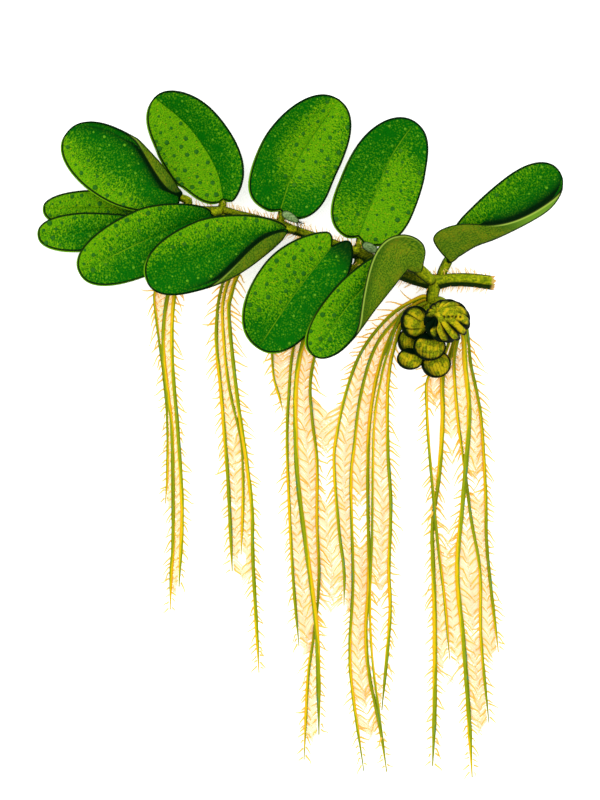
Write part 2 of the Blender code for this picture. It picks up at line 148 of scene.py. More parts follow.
LEAVES = {
    "leaf_tip_upper": Blade(
        foot=(-14.3, 22.6, 0.75), midrib=((-15.6, 22.7, 0.6), (-20.5, 22.7, 0.25), (-25.8, 22.6, 0.5)),
        widths=(2.1, 1.9), cup=6, tilts=(4, 6), lit_tones=(0.7, 0.6, 0.75, 0.75), base_lit_tone=-0.2,
    ),
    "leaf_tip_lower": Blade(
        foot=(-14.0, 21.7, 1.15), midrib=((-15.4, 21.3, 1.25), (-20.5, 20.4, 1.15), (-26.3, 20.0, 0.9)),
        widths=(2.0, 2.0), widest=0.58, base_bluntness=(2.0, 1.5), cup=6, tilts=(6, 4), lit_tones=(0.1, 0.25, 0.25, 0.55),
        tip_lit_tone=0.45, base_lit_tone=-0.3, dusk=(0.2, 0.3),
    ),
    "leaf_5_upper": Blade(
        foot=(-11.3, 23.5, 1.4), midrib=((-12.0, 23.7, 1.75), (-18.0, 26.2, 1.3), (-23.5, 30.1, 1.0)),
        widths=(3.2, 3.8), widest=0.5, base_bluntness=(2.0, 1.35), tilts=(3, 4), cup=5, folded=RIGHT, roll=1.0,
        lobe=7.8, fade=4.6, lit_tones=(0.4, 0.9, 0.15, -0.3), base_lit_tone=-0.7, tip_lit_tone=0.15, shadow=1.6, dusk=(0.2, 0.95),
    ),
    "leaf_4_lower": Blade(
        foot=(-8.2, 22.3, 2.1), midrib=((-8.8, 22.1, 2.2), (-15.5, 19.4, 2.4), (-22.1, 16.2, 2.0)), widths=(3.4, 3.2),
        base_bluntness=(2.3, 1.5), tilts=(1, 10), cup=6, lit_tones=(0.2, -0.1, 0.35, 0.75), base_lit_tone=-0.5, tip_lit_tone=0.3,
        rib=1, rib_from=0.5, dusk=(0.95, 0.4),
    ),
    "leaf_4_upper": Blade(
        foot=(-7.75, 23.25, 1.15),
        midrib=((-7.65, 23.45, 1.1), (-8.5, 26.8, 0.4), (-11.1, 30.8, 0.24), (-14.6, 33.8, 0.9)), widths=(4.5, 3.7),
        widest=0.42, tilts=(3, 30), lobes=(0.3, 0.7), split=1, lit_tones=(0.85, 0.75, -0.05, 0.35),
    ),
    "leaf_3_lower": Blade(
        foot=(-0.75, 20.55, 2.2),
        midrib=((-1.3, 20.7, 2.2), (-5.3, 19.6, 2.6), (-10.5, 17.5, 3.3), (-15.3, 15.3, 3.3)), widths=(3.25, 3.6),
        widest=0.54, base_bluntness=(1.6, 1.4), tilts=(4, 12), lobes=(0.2, 0.2), folded=LEFT, roll=0.2, lobe=5.0,
        fade=2.0, bend=0.4, lit_tones=(0.1, 0.0, 0.25, 0.8), tip_lit_tone=-0.25, shadow=1.2, dusk=(0.3, 0.6),
    ),
    "leaf_3_upper": Blade(
        foot=(-1.85, 21.9, 1.25), midrib=((-2.0, 22.4, 1.3), (-0.6, 26.7, 0.35), (0.9, 29.4, 0.28), (3.9, 33.6, 1.2)),
        widths=(4.5, 4.2), widest=0.34, base_bluntness=(4.0, 2.8), tilts=(22, 3), lobes=(0.6, 0.6),
        lit_tones=(0.75, 0.0, 0.85, 0.5), base_lit_tone=-0.7, rib=1,
    ),
    "leaf_2_lower": Blade(
        foot=(5.5, 18.4, 2.45), midrib=((3.2, 18.9, 2.45), (-0.6, 14.0, 2.35), (-4.2, 8.6, 2.4)), widths=(3.8, 4.5),
        base_bluntness=(2.6, 1.9), tilts=(10, 16), lobes=(1.7, 1.3), split=1, lit_tones=(0.05, -0.1, 0.55, 0.85),
        base_lit_tone=0.1, tip_lit_tone=-0.5, rib=1, dusk=(0.9, 0.0),
    ),
    "leaf_2_upper": Blade(
        foot=(5.95, 19.2, 1.3), midrib=((5.8, 19.75, 1.2), (7.3, 23.6, 0.35), (9.1, 27.8, 0.28), (11.5, 31.4, 1.1)),
        widths=(4.1, 4.35), widest=0.35, base_bluntness=(3.4, 2.6), tilts=(16, 4), lobes=(0.6, 0.6), split=0.6,
        lit_tones=(0.25, 0.15, 0.75, 0.55), base_lit_tone=0.45, tip_lit_tone=-0.55, rib=1,
    ),
    "leaf_1_lower": Blade(
        foot=(12.9, 15.6, 2.6),
        midrib=((11.8, 17.0, 2.9), (9.8, 17.5, 3.4), (5.9, 14.2, 3.6), (2.6, 9.9, 3.6), (1.1, 8.0, 3.7)),
        widths=(2.5, 2.3), widest=0.7, base_bluntness=(1.9, 1.9), tilts=(4, 10), folded=LEFT, roll=0.7, lobe=11.2,
        fade=2.2, bend=0.7, lit_tones=(0.25, 0.15, 0.4, 0.8), tip_lit_tone=0.3, shadow=0.2, pale=0.8, pale_from=0.08, rib=1,
        neck=0.62,
    ),
    "leaf_1_upper": Blade(
        foot=(14.2, 16.2, 1.35),
        midrib=((14.6, 17.4, 1.3), (16.5, 20.0, 0.8), (18.9, 21.8, 0.5), (23.4, 24.8, 0.3), (26.1, 26.3, 0.6)),
        widths=(2.45, 2.8), widest=0.72, base_bluntness=(1.5, 1.55), tilts=(8, 4), lobes=(0.0, 0.15), folded=RIGHT,
        roll=1.6, lobe=17.6, fade=5.0, lit_tones=(0.35, 0.5, 0.15, -0.1), base_lit_tone=0.35, tip_lit_tone=-0.15, shadow=1.8,
        pale=0.9, wash=0.8, neck=0.5,
    ),
}

# Submerged leaves
STALK_ROWS = 24
STALK_SIDES = 18
STALK_RADIUS_FIRST = 0.82
STALK_RADIUS = 0.62
THREAD_ROWS = 170
THREAD_SIDES = 10
THREAD_SAMPLES = 260  # for the distances between threads
THREAD_SEED = 700
HAIR_STEP = 0.18
HAIR_END = 0.2  # length without hairs at a thread's tip
BESIDE = 0.3  # how far along a thread another still counts as beside it
NEIGHBOUR_GAPS = (0.12, 8)
NO_GAP = 99.0
WEB_GAPS = (0.35, 3.3)  # between threads that are joined by a web
OUTER_GAP = 1.6  # least room for the long hairs
# Strength of the hairs' painted glow.
HAIR_GLOW = 0.24

# Each thread's points run from its stalk to its tip. Its layer, the length without hairs at its top, its
# radius and the stalk that it leaves follow.
LAYER_HEIGHTS = (0.2, 0.75, 1.3, 1.85)
THREADS = {
    "filament_4a": (
        ((-10.6, 19.6), (-13.0, 17.3), (-14.5, 14.5), (-14.4, 11.7), (-13.7, 6.2), (-13.3, 1.5), (-13.3, -3.6),
         (-13.5, -6.9)), 0, 4.5, 0.15, 4),
    "filament_4b": (
        ((-10.3, 19.3), (-12.2, 16.8), (-13.3, 13.7), (-13.7, 9.1), (-13.2, 4.0), (-12.8, 0.2), (-12.7, -10.0),
         (-12.9, -13.8), (-13.0, -17.5)), 1, 4.5, 0.2, 4),
    "filament_4c": (
        ((-10.0, 19.1), (-11.6, 16.9), (-12.6, 13.7), (-12.8, 7.9), (-12.2, 0.2), (-11.8, -7.5),
         (-12.1, -15.2)), 2, 4.5, 0.2, 4),
    "filament_3a": (
        ((-4.6, 18.6), (-6.7, 17.0), (-7.9, 14.5), (-8.4, 10.0), (-7.9, 4.0), (-7.2, -4.9),
         (-6.8, -13.7)), 0, 4.2, 0.2, 3),
    "filament_3b": (
        ((-4.4, 18.3), (-6.6, 16.5), (-7.7, 13.3), (-7.6, 9.1), (-7.1, 4.8), (-6.2, 1.0), (-5.8, -1.3), (-5.7, -6.2),
         (-5.9, -12.0)), 1, 4.2, 0.17, 3),
    "filament_3c": (
        ((-4.1, 18.1), (-5.9, 16.7), (-6.9, 14.0), (-7.1, 11.7), (-6.3, 4.0), (-5.3, -3.0), (-4.8, -7.5),
         (-4.7, -12.6), (-4.1, -23.8)), 2, 4.2, 0.2, 3),
    "filament_2a": (
        ((3.7, 15.7), (-0.6, 13.0), (-2.6, 10.4), (-2.7, 6.3), (-2.1, 3.9), (-1.7, 2.3)), 0, 6.0, 0.14, 2),
    "filament_2b": (
        ((3.9, 15.4), (0.6, 12.4), (-0.7, 8.5), (-1.1, 4.2), (-1.3, -0.3), (-1.1, -6.6), (-0.7, -14.2),
         (-0.1, -21.2)), 1, 6.0, 0.17, 2),
    "filament_2c": (
        ((4.2, 15.2), (1.6, 12.1), (0.3, 9.2), (-0.4, 4.9), (-0.4, -1.4), (0.0, -6.6), (1.5, -17.8), (1.8, -22.4),
         (1.9, -30.0)), 2, 6.0, 0.24, 2),
    "filament_2d": (
        ((4.4, 15.0), (2.4, 11.3), (1.1, 5.9), (1.2, 1.8), (1.7, -2.6), (1.7, -8.7), (1.9, -14.2), (1.5, -19.3),
         (0.8, -24.4), (0.4, -32.6)), 0, 6.0, 0.17, 2),
    "filament_1a": (
        ((12.1, 13.8), (9.1, 12.0), (6.3, 8.6), (4.7, 4.6), (3.7, 0.2), (3.4, -3.0), (3.9, -9.5), (4.4, -13.5),
         (4.4, -17.1)), 2, 2.2, 0.17, 1),
    "filament_1b": (
        ((12.1, 13.5), (10.2, 12.1), (7.6, 8.9), (6.1, 4.1), (5.4, -1.4), (5.1, -4.9), (5.3, -14.5), (5.0, -20.9),
         (5.2, -25.2), (6.4, -33.7)), 1, 2.8, 0.17, 1),
    "filament_1c": (
        ((12.3, 13.2), (10.0, 11.5), (8.1, 7.3), (7.1, 2.4), (6.8, -3.0), (6.9, -14.0), (6.6, -19.5), (6.9, -23.8),
         (8.0, -29.2), (8.7, -33.8)), 0, 3.0, 0.2, 1),
    "filament_1d": (
        ((12.4, 13.15), (10.1, 11.85), (8.9, 8.6), (8.1, 5.5), (7.4, 0.6), (7.2, -10.5), (7.0, -17.0), (7.3, -23.0),
         (8.4, -31.0)), 2, 5.5, 0.13, 1),
    "filament_1e": (
        ((12.6, 12.8), (10.6, 11.6), (9.5, 9.2), (8.8, 5.0), (8.8, -1.5), (9.1, -7.0), (8.9, -13.4), (9.0, -18.4),
         (8.2, -27.6)), 1, 5.5, 0.19, 1),
    "filament_1f": (
        ((13.3, 12.9), (15.0, 10.5), (14.3, 7.6), (12.8, 5.6), (12.7, 2.8), (13.0, -2.2), (13.8, -10.8),
         (14.5, -16.6), (15.0, -22.5)), 1, 8.0, 0.16, 1),
    "filament_1g": (
        ((13.6, 12.9), (15.5, 10.6), (15.1, 8.0), (14.3, 5.9), (14.3, 1.8), (14.0, -3.4), (13.3, -9.5),
         (13.5, -18.1), (13.5, -27.0), (13.3, -33.2)), 0, 8.0, 0.24, 1),
    "filament_1h": (
        ((13.8, 13.2), (15.8, 10.9), (15.4, 7.2), (15.8, 1.5), (16.4, -2.7), (17.1, -8.3), (18.0, -13.7),
         (18.1, -20.3), (18.9, -28.8)), 2, 6.0, 0.17, 1),
    "filament_1i": (
        ((14.1, 13.3), (16.1, 11.0), (16.5, 6.9), (16.9, 1.8), (16.3, -6.2), (15.7, -13.5), (16.3, -20.3),
         (16.8, -27.0), (17.2, -34.2)), 3, 6.0, 0.24, 1),
    "filament_1j": (
        ((14.4, 13.5), (16.5, 11.2), (17.1, 7.2), (18.1, 2.0), (18.6, -5.5), (18.7, -10.6), (19.2, -15.9),
         (19.9, -21.8)), 0, 6.0, 0.18, 1),
}

# Places between threads where the web of hairs has a hole: middle and half sizes.
WEB_HOLES = (
    (2.6, -3.2, 1.0, 2.9), (6.0, -8.2, 1.0, 2.6), (13.6, 0.3, 0.9, 3.8), (15.4, -5.6, 1.3, 6.4),
    (17.6, -4.7, 0.7, 1.2), (-6.0, -6.9, 0.5, 0.5), (15.1, -27.0, 2.0, 5.0), (7.9, -20.0, 1.2, 5.5),
    (6.3, -27.1, 0.6, 1.0), (7.2, -31.6, 1.0, 2.8), (17.1, -19.1, 0.5, 0.6),
    (3.3, -22.0, 1.5, 6.5),
)

# Each stalk runs from its node on the stem to where its threads part.
STALKS = {
    4: ((-7.9, 22.3, 0.85), (-8.25, 21.55, 0.75), (-9.0, 20.85, 0.75), (-9.9, 19.9, 0.75)),
    3: ((-2.2, 20.85, 0.9), (-2.6, 20.0, 0.7), (-3.1, 19.5, 0.75), (-3.9, 18.8, 0.75)),
    2: ((6.2, 17.9, 1.0), (5.7, 16.95, 0.75), (5.15, 16.5, 0.75), (4.4, 15.8, 0.75)),
    1: ((13.4, 15.2, 1.1), (13.3, 14.3, 1.1), (13.2, 13.8, 1.1), (13.1, 13.3, 1.0)),
}


@dataclass
class Fruit:
    """One sporocarp, with its sizes and directions in the plant's layout."""

    centre: tuple
    sizes: tuple  # half of its width, length and height
    pole: tuple  # the way to where its ribs meet
    ribs: int
    depth: float = 0.3  # of its grooves, as a share of the deepest
    ink: float = 0.55  # how dark they are, as painted shade
    wedges: float = 0.0  # how much they widen on the lower side
    dusk: float = 0.5  # how dark its lower left is, as painted shade
    cap: float = 0.0  # how far from the pole it is dark, as an angle: a painted shadow
    hollow: tuple = ()  # the way to a hollow in it, painted dark as shade
    dots: tuple = ()  # places of small pits, painted dark as shade, from its middle


SPOROCARPS = {
    "sporocarp_1": Fruit(
        (14.6, 11.35, 4.65), (2.35, 2.2, 1.9), (-0.43, 0.42, 0.8), 13, depth=1, ink=1, wedges=0.55, dusk=0.1,
        hollow=(-0.72, -0.05, 0.68), dots=((-0.35, 0.42), (0.05, 0.4), (0.45, 0.42), (0.85, 0.4), (1.3, 0.38)),
    ),
    "sporocarp_2": Fruit((11.5, 11.25, 2.35), (1.5, 1.7, 1.4), (0.7, -0.25, 0.65), 7, depth=0.6, ink=0.9, dusk=0.4),
    "sporocarp_3": Fruit((10.7, 9.4, 1.1), (0.95, 1.2, 0.8), (-0.1, 0.9, 0.4), 18, dusk=1.1),
    "sporocarp_4": Fruit((12.9, 8.8, 3.08), (1.65, 1.4, 1.02), (0.05, 0.93, 0.3), 26, dusk=0.7, cap=0.9),
    "sporocarp_5": Fruit((11.0, 7.6, 2.25), (1.35, 1.1, 0.82), (0.25, 0.9, 0.3), 24, dusk=0.8, cap=0.95),
    "sporocarp_6": Fruit((13.6, 7.1, 1.85), (1.5, 1.4, 0.88), (-0.3, 0.92, 0.3), 26, dusk=1.0, cap=1.0),
}

FRUIT_ROWS = 64
FRUIT_STALK_ROWS = 16
FRUIT_STALK_SIDES = 10
FRUIT_STALK_RADIUS = 0.22

BUD_SEED = 90
BUD_HAIRS = 12
BUD_HAIR_RADIUS = 0.045

# Each bud's middle, half of its length, width and height, and the angle that it points to
BUDS = {
    "bud_3": ((-0.95, 21.75, 2.3), (1.0, 0.43, 0.35), -30),
    "bud_2": ((7.1, 18.65, 2.25), (1.02, 0.45, 0.35), -27),
}

# Stage, in metres
FLOOR_HALF_WIDTH = 3
LAMP_SIZE = 0.35
LAMP_PLACE = (-0.2, 0.22, 0.34)
LAMP_TURN = (-33, -26, 0)
CAMERA_RANGE = (0.01, 20)
CAMERA_LIFT = 0.0015  # the height that is as wide as the settings say
PICTURE_MIDDLE = 3.5  # above the layout's own, in its millimetres
FLOOR_GLOW = 0.65


# Settings that a user would change


def length(name, description, default):
    """A setting in metres."""
    return FloatProperty(
        name=name, description=description, default=default, min=0, precision=5, unit="LENGTH", subtype="DISTANCE"
    )


def colour(name, description, default):
    return FloatVectorProperty(
        name=name, description=description, default=default, size=3, min=0, max=1, subtype="COLOR"
    )


class SalviniaLeafSettings(bpy.types.PropertyGroup):
    thickness: length("Thickness", "Greatest thickness of a blade", 0.0003)
    # The light and dark zones are painted light and shade over the leaf's own green.
    light: colour("Light Green", "Colour of the light zones", (0.108, 0.325, 0.0005))
    dark: colour("Dark Green", "Colour of the dark zones", (0.001, 0.11, 0.0005))
    # Deep green is the painted shadow by the folds and at the bases, and the ink line along the margin.
    deep: colour("Deep Green", "Colour in the folds and along the margin", (0.0, 0.01, 0.001))
    underside: colour("Underside", "Colour of the underside, seen on folded margins", (0.12, 0.2, 0.004))
    papilla_radius: length("Papilla Radius", "Radius of the raised dots", 0.00026)
    papilla_spacing: length("Papilla Spacing", "Least distance between two raised dots", 0.00095)


class SalviniaStemSettings(bpy.types.PropertyGroup):
    skin: colour("Skin", "Colour of the stem and petioles", (0.25, 0.31, 0.002))
    shade: colour("Shaded Side", "Colour of the stem's lower side", (0.0005, 0.014, 0.001))
    cut: colour("Cut End", "Colour of the stem's cut end", (0.72, 0.42, 0.12))
    hair_length: length("Hair Length", "Length of the short hairs on the stem", 0.0007)


class SalviniaThreadSettings(bpy.types.PropertyGroup):
    # The yellow side is a painted highlight; the green side is darkened at its far edge as painted shade.
    green: colour("Green Side", "Colour of each thread's dark side", (0.235, 0.29, 0.004))
    yellow: colour("Yellow Side", "Colour of each thread's light side", (0.66, 0.48, 0.002))
    hair: colour("Hair", "Colour of the hairs", (0.84, 0.45, 0.05))
    web: colour("Web", "Colour of the fine hairs between threads", (0.94, 0.785, 0.55))
    hair_length: length("Hair Length", "Length of the hairs at the outside of a group", 0.0015)
    hair_radius: length("Hair Radius", "Radius of a hair at its foot", 0.00012)


class SalviniaFruitSettings(bpy.types.PropertyGroup):
    rib: colour("Rib", "Colour of a fruit's ribs", (0.27, 0.315, 0.003))
    # Also the colour of the painted shade on the fruits.
    groove: colour("Groove", "Colour between the ribs", (0.0, 0.006, 0.001))
    bud: colour("Bud", "Colour of the two buds", (0.2, 0.3, 0.115))
    groove_depth: FloatProperty(
        name="Groove Depth", description="Depth of a groove as a share of the fruit's radius", default=0.17, min=0,
        max=0.4, subtype="FACTOR",
    )


class SalviniaStageSettings(bpy.types.PropertyGroup):
    lens: FloatProperty(name="Lens", description="Focal length of the camera", default=200, min=20, unit="CAMERA")
    view_height: length("View Height", "Height of what the camera sees", 0.08)
    floor: colour("Floor", "Colour of the floor", (0.8, 0.8, 0.8))
    sky: FloatProperty(name="Sky Light", description="Strength of the light from all round", default=1.25, min=0)
    lamp: FloatProperty(name="Lamp Power", description="Power of the large lamp", default=0.55, min=0, unit="POWER")


# Shader maths


class Value:
    """A socket on which Python's operators add Math nodes."""

    def __init__(self, paint, socket):
        self.paint = paint
        self.socket = socket

    def maths(self, operation, *others):
        return self.paint.node("ShaderNodeMath", {"operation": operation}, dict(enumerate((self, *others))))

    def __add__(self, other):
        return self.maths("ADD", other)

    __radd__ = __add__

    def __mul__(self, other):
        return self.maths("MULTIPLY", other)

    def __sub__(self, other):
        return self.maths("SUBTRACT", other)

    def __abs__(self):
        return self.maths("ABSOLUTE")

    def between(self, low, high):
        """0 at low and 1 at high, smoothly, with low above high to turn it round."""
        inputs = {"Value": self, "From Min": min(low, high), "From Max": max(low, high)}
        if low > high:
            inputs.update({"To Min": 1.0, "To Max": 0.0})
        return self.paint.node("ShaderNodeMapRange", {"interpolation_type": "SMOOTHSTEP"}, inputs)


class Paint:
    """One material, and the nodes that make it."""

    def __init__(self, name, roughness, specular):
        self.material = bpy.data.materials.new(name)
        self.material.use_nodes = True
        self.tree = self.material.node_tree
        self.shader = self.tree.nodes["Principled BSDF"]
        self.shader.inputs["Roughness"].default_value = roughness
        self.shader.inputs["Specular IOR Level"].default_value = specular

    def link(self, value, socket):
        if isinstance(value, Value):
            self.tree.links.new(value.socket, socket)
        elif socket.type == "RGBA":
            socket.default_value = (*value, 1)
        else:
            socket.default_value = value

    def node(self, kind, settings, inputs, output=0):
        made = self.tree.nodes.new(kind)
        for name, value in settings.items():
            setattr(made, name, value)
        for key, value in inputs.items():
            self.link(value, made.inputs[key])
        return Value(self, made.outputs[output])

    def attribute(self, name):
        return self.node("ShaderNodeAttribute", {"attribute_name": name}, {}, "Fac")

    def mix(self, share, first, second):
        settings = {"data_type": "RGBA", "clamp_factor": True}
        return self.node("ShaderNodeMix", settings, {0: share, 6: first, 7: second}, 2)

    def coat(self, share, colour):
        """Lays a colour over the body, as much as the share says."""
        self.body = self.mix(share, self.body, colour)

    def glow(self, colour, strength):
        self.link(colour, self.shader.inputs["Emission Color"])
        self.shader.inputs["Emission Strength"].default_value = strength

    def stretched(self, vector, scale):
        return self.node("ShaderNodeVectorMath", {"operation": "MULTIPLY"}, {0: vector, 1: scale})

    def grain(self, vector, scale, detail=2.0, roughness=0.5):
        inputs = {"Vector": vector, "Scale": scale, "Detail": detail, "Roughness": roughness}
        return self.node("ShaderNodeTexNoise", {"noise_dimensions": "3D"}, inputs)

    def cells(self, vector, scale):
        return self.node("ShaderNodeTexVoronoi", {"voronoi_dimensions": "2D"}, {"Vector": vector, "Scale": scale})

    def uv(self):
        return self.node("ShaderNodeUVMap", {"uv_map": "skin"}, {})

    def object_place(self):
        return self.node("ShaderNodeTexCoord", {}, {}, "Object")

    def second_part(self, vector):
        return self.node("ShaderNodeSeparateXYZ", {}, {0: vector}, "Y")

    def finish(self, relief=None, depth=0.0, roughness=None):
        """The material, with its body as colour and a relief this many millimetres deep."""
        self.link(self.body, self.shader.inputs["Base Color"])
        if roughness is not None:
            self.link(roughness, self.shader.inputs["Roughness"])
        if relief is not None:
            bump = self.node("ShaderNodeBump", {}, {"Strength": 1.0, "Distance": depth * MM, "Height": relief})
            self.link(bump, self.shader.inputs["Normal"])
        return self.material


@cache
def upper_paint():
    """The green upper side of a leaf: zones of painted light and shade over its own green, broken up into fine
    streaks and grains.
    """
    settings = bpy.context.scene.salvinia_leaf
    paint = Paint("leaf_upper_side", 0.5, 0.02)
    place = paint.uv()
    streaks = paint.grain(paint.stretched(place, (6.5, 2.2, 1)), 1.0, 2.0, 0.65)
    grains = paint.cells(paint.stretched(place, (5.0, 3.8, 1)), 1.0)
    patches = paint.grain(place, 0.7)
    fine = paint.grain(place, 7.5, 2.0, 0.6)
    lit_tone = paint.attribute("lit_tone")
    speckle = streaks * 3.6 + grains * 1.5 + fine * 3.0 - 4.0
    # Painted light and shade: the lit zones light green and the shaded zones dark green, broken up by the speckle.
    paint.body = paint.mix((lit_tone - 0.5) * 2.3 + speckle + (patches - 0.5) * 0.7 + 0.5, settings.dark, settings.light)
    # Painted highlight: yellow streaks that only the lit zones get.
    highlight_streaks = streaks.between(0.55, 0.7) * lit_tone.between(0.25, 0.5)
    paint.coat(highlight_streaks * 0.7, (0.27, 0.4, 0.002))
    dots = paint.cells(paint.stretched(place, (4.4, 3.8, 1)), 1.0)
    paint.coat(fine.between(0.47, 0.36) * 0.7, (0.001, 0.065, 0.001))
    paint.coat(dots.between(0.38, 0.16) * patches.between(0.34, 0.52) * 0.7, (0.055, 0.22, 0.001))
    # Yellow specks that only the lit zones get, part of the painted light.
    specks = paint.cells(place, 1.9).between(0.13, 0.07) * fine.between(0.45, 0.6) * lit_tone.between(0.4, 0.7)
    paint.coat(specks * 0.8, (0.42, 0.27, 0.004))
    line = abs(paint.second_part(place)).between(0.1, 0.03) * paint.attribute("rib")
    opposite = paint.mix(lit_tone.between(0.35, 0.6), (0.14, 0.3, 0.003), (0.01, 0.14, 0.001))
    paint.coat(line * 0.7, opposite)
    edge, glow = paint.attribute("edge"), paint.attribute("glow")
    ink = (edge - glow * 0.1).between(0.23, 0.12)
    paint.coat(ink * 0.97, settings.deep)
    # Painted highlight: a light green strip along the rim that faces down and left.
    paint.coat(edge.between(0.12, 0.05) * glow, (0.13, 0.33, 0.003))
    # Painted shadow beside the folded margin, and painted shade at the base.
    paint.coat(paint.attribute("deep"), settings.deep)
    return paint.finish(relief=streaks + grains * -0.8, depth=0.05, roughness=0.4 + grains * 0.3)


@cache
def under_paint():
    """The olive underside of a leaf, with dark grains, a lighter margin and painted shade where it is turned over."""
    settings = bpy.context.scene.salvinia_leaf
    paint = Paint("leaf_underside", 0.6, 0.02)
    place = paint.uv()
    grains = paint.cells(place, 4.2)
    fine = paint.grain(place, 7.0, 2.0, 0.6)
    patches = paint.grain(place, 0.6)
    paint.body = paint.mix(fine.between(0.6, 0.4), settings.underside, (0.03, 0.1, 0.002))
    paint.coat(grains.between(0.24, 0.1) * 0.75, (0.008, 0.045, 0.002))
    paint.coat(patches.between(0.45, 0.7) * 0.5, (0.17, 0.215, 0.004))
    # Painted shade on the turned margin, and at the base.
    paint.coat(paint.attribute("deep") * 0.85, (0.004, 0.03, 0.002))
    rust = paint.cells(place, 3.1).between(0.22, 0.1) * patches.between(0.4, 0.6)
    paint.coat(rust * 0.35, (0.33, 0.19, 0.006))
    edge, pale = paint.attribute("edge"), paint.attribute("pale")
    paint.coat(edge.between(1.1, 0.3) * pale * 0.8, (0.015, 0.06, 0.002))
    paint.coat(paint.attribute("wash"), (0.14, 0.3, 0.02))
    paint.coat(edge.between(0.28, 0.24) * pale, (0.27, 0.39, 0.05))
    ink = edge.between(0.16, 0.08) + paint.attribute("crest").between(0.15, 0.05)
    paint.coat(ink * 0.95, settings.deep)
    return paint.finish(relief=fine, depth=0.04, roughness=0.5 + fine * 0.2)


@cache
def papilla_paint():
    """The raised dots, dark on the zones of painted light and light on those of painted shade."""
    paint = Paint("leaf_papillae", 0.45, 0.1)
    lit_tone = paint.attribute("lit_tone")
    fine = paint.grain(paint.object_place(), 5000.0)
    paint.body = paint.mix(lit_tone.between(0.36, 0.46), (0.09, 0.29, 0.002), (0.008, 0.105, 0.001))
    paint.coat(fine.between(0.4, 0.65) * 0.4, (0.04, 0.17, 0.002))
    return paint.finish()


@cache
def stem_paint():
    """Yellow-olive skin with lengthwise streaks and fine specks, with painted shade along its lower side and under
    the leaves.
    """
    settings = bpy.context.scene.salvinia_stem
    paint = Paint("stem_skin", 0.55, 0.02)
    place = paint.uv()
    streaks = paint.grain(paint.stretched(place, (1.6, 22.0, 1)), 1.0, 3.0, 0.6)
    spots = paint.grain(paint.object_place(), 5200.0, 2.0, 0.6)
    patches = paint.grain(paint.object_place(), 1500.0)
    paint.body = paint.mix(streaks.between(0.38, 0.6), (0.1, 0.155, 0.002), settings.skin)
    paint.coat(spots.between(0.5, 0.62) * 0.7, (0.46, 0.46, 0.006))
    paint.coat(spots.between(0.45, 0.34) * 0.65, (0.04, 0.1, 0.002))
    paint.coat(patches.between(0.5, 0.7) * 0.4, (0.22, 0.33, 0.004))
    paint.coat(paint.attribute("shade"), settings.shade)
    paint.coat(paint.attribute("cut"), settings.cut)
    return paint.finish(relief=streaks, depth=0.08, roughness=0.45 + spots * 0.25)


@cache
def thread_paint():
    """A thread that is green along one side, with painted shade at its far edge, and yellow along the other as a
    painted highlight.
    """
    settings = bpy.context.scene.salvinia_thread
    paint = Paint("thread_skin", 0.6, 0.03)
    place = paint.uv()
    wander = paint.grain(paint.stretched(place, (0.6, 0.0, 1)), 1.0)
    streaks = paint.grain(paint.stretched(place, (2.5, 9.0, 1)), 1.0)
    side = paint.attribute("shade") + (wander - 0.5) * 1.0 + (streaks - 0.5) * 0.5
    paint.body = paint.mix(side.between(0.22, 0.5), settings.green, settings.yellow)
    paint.coat(streaks.between(0.52, 0.66) * 0.4, (0.36, 0.34, 0.003))
    # Painted shade along the far edge of the green side, teal in patches.
    paint.coat(side.between(-0.6, -0.9) * 0.6, (0.09, 0.16, 0.002))
    shaded_edge = side.between(-0.6, -0.85) * wander.between(0.52, 0.6)
    paint.coat(shaded_edge * 0.8, (0.03, 0.2, 0.11))
    # Painted highlight, oranger along the middle of the yellow side.
    paint.coat(side.between(0.7, 0.95) * 0.5, (0.75, 0.36, 0.02))
    return paint.finish(relief=streaks, depth=0.04)


@cache
def hair_paint():
    """Tan hairs, and the pale ones of the web between threads, all with a faint painted glow that keeps them light.
    """
    settings = bpy.context.scene.salvinia_thread
    paint = Paint("hairs", 0.8, 0.05)
    patches = paint.grain(paint.object_place(), 900.0)
    paint.body = paint.mix(patches.between(0.4, 0.62), settings.hair, (0.9, 0.54, 0.08))
    paint.coat(paint.attribute("tip").between(0.6, 1.0) * 0.3, settings.web)
    paint.coat(paint.attribute("pale"), settings.web)
    # Painted light: the hairs glow in their own colour.
    paint.glow(paint.body, HAIR_GLOW)
    return paint.finish()


@cache
def fruit_paint():
    """Yellow-olive ribs, with painted shade in the grooves between them, on the sides and at the lower left."""
    settings = bpy.context.scene.salvinia_fruit
    paint = Paint("fruit_skin", 0.5, 0.02)
    place = paint.object_place()
    fine = paint.grain(place, 6500.0, 2.0, 0.6)
    patches = paint.grain(place, 1700.0)
    paint.body = paint.mix(fine.between(0.4, 0.62), (0.11, 0.13, 0.002), settings.rib)
    paint.coat(patches.between(0.45, 0.6) * 0.85, (0.52, 0.4, 0.005))
    paint.coat(patches.between(0.4, 0.28) * 0.4, (0.12, 0.15, 0.002))
    paint.coat(fine.between(0.42, 0.32) * 0.5, (0.06, 0.09, 0.002))
    # Painted shade: in the grooves, hollow and pits, round the pole, on the sides and at the lower left.
    paint.coat(paint.attribute("groove"), settings.groove)
    return paint.finish(relief=fine, depth=0.06, roughness=0.4 + fine * 0.25)


@cache
def bud_paint():
    """Grey-green skin with short darker streaks, painted shade on the bud's sides and below, and dark hairs."""
    settings = bpy.context.scene.salvinia_fruit
    paint = Paint("bud_skin", 0.6, 0.03)
    place = paint.object_place()
    fine = paint.grain(paint.stretched(place, (1, 2.2, 1)), 3600.0, 2.0, 0.6)
    paint.body = paint.mix(fine.between(0.4, 0.55), (0.08, 0.15, 0.045), settings.bud)
    # Painted shade on the bud, and the hairs darkening towards their tips.
    paint.coat(paint.attribute("groove") + paint.attribute("tip") * 3, (0.004, 0.02, 0.004))
    return paint.finish(relief=fine, depth=0.05)


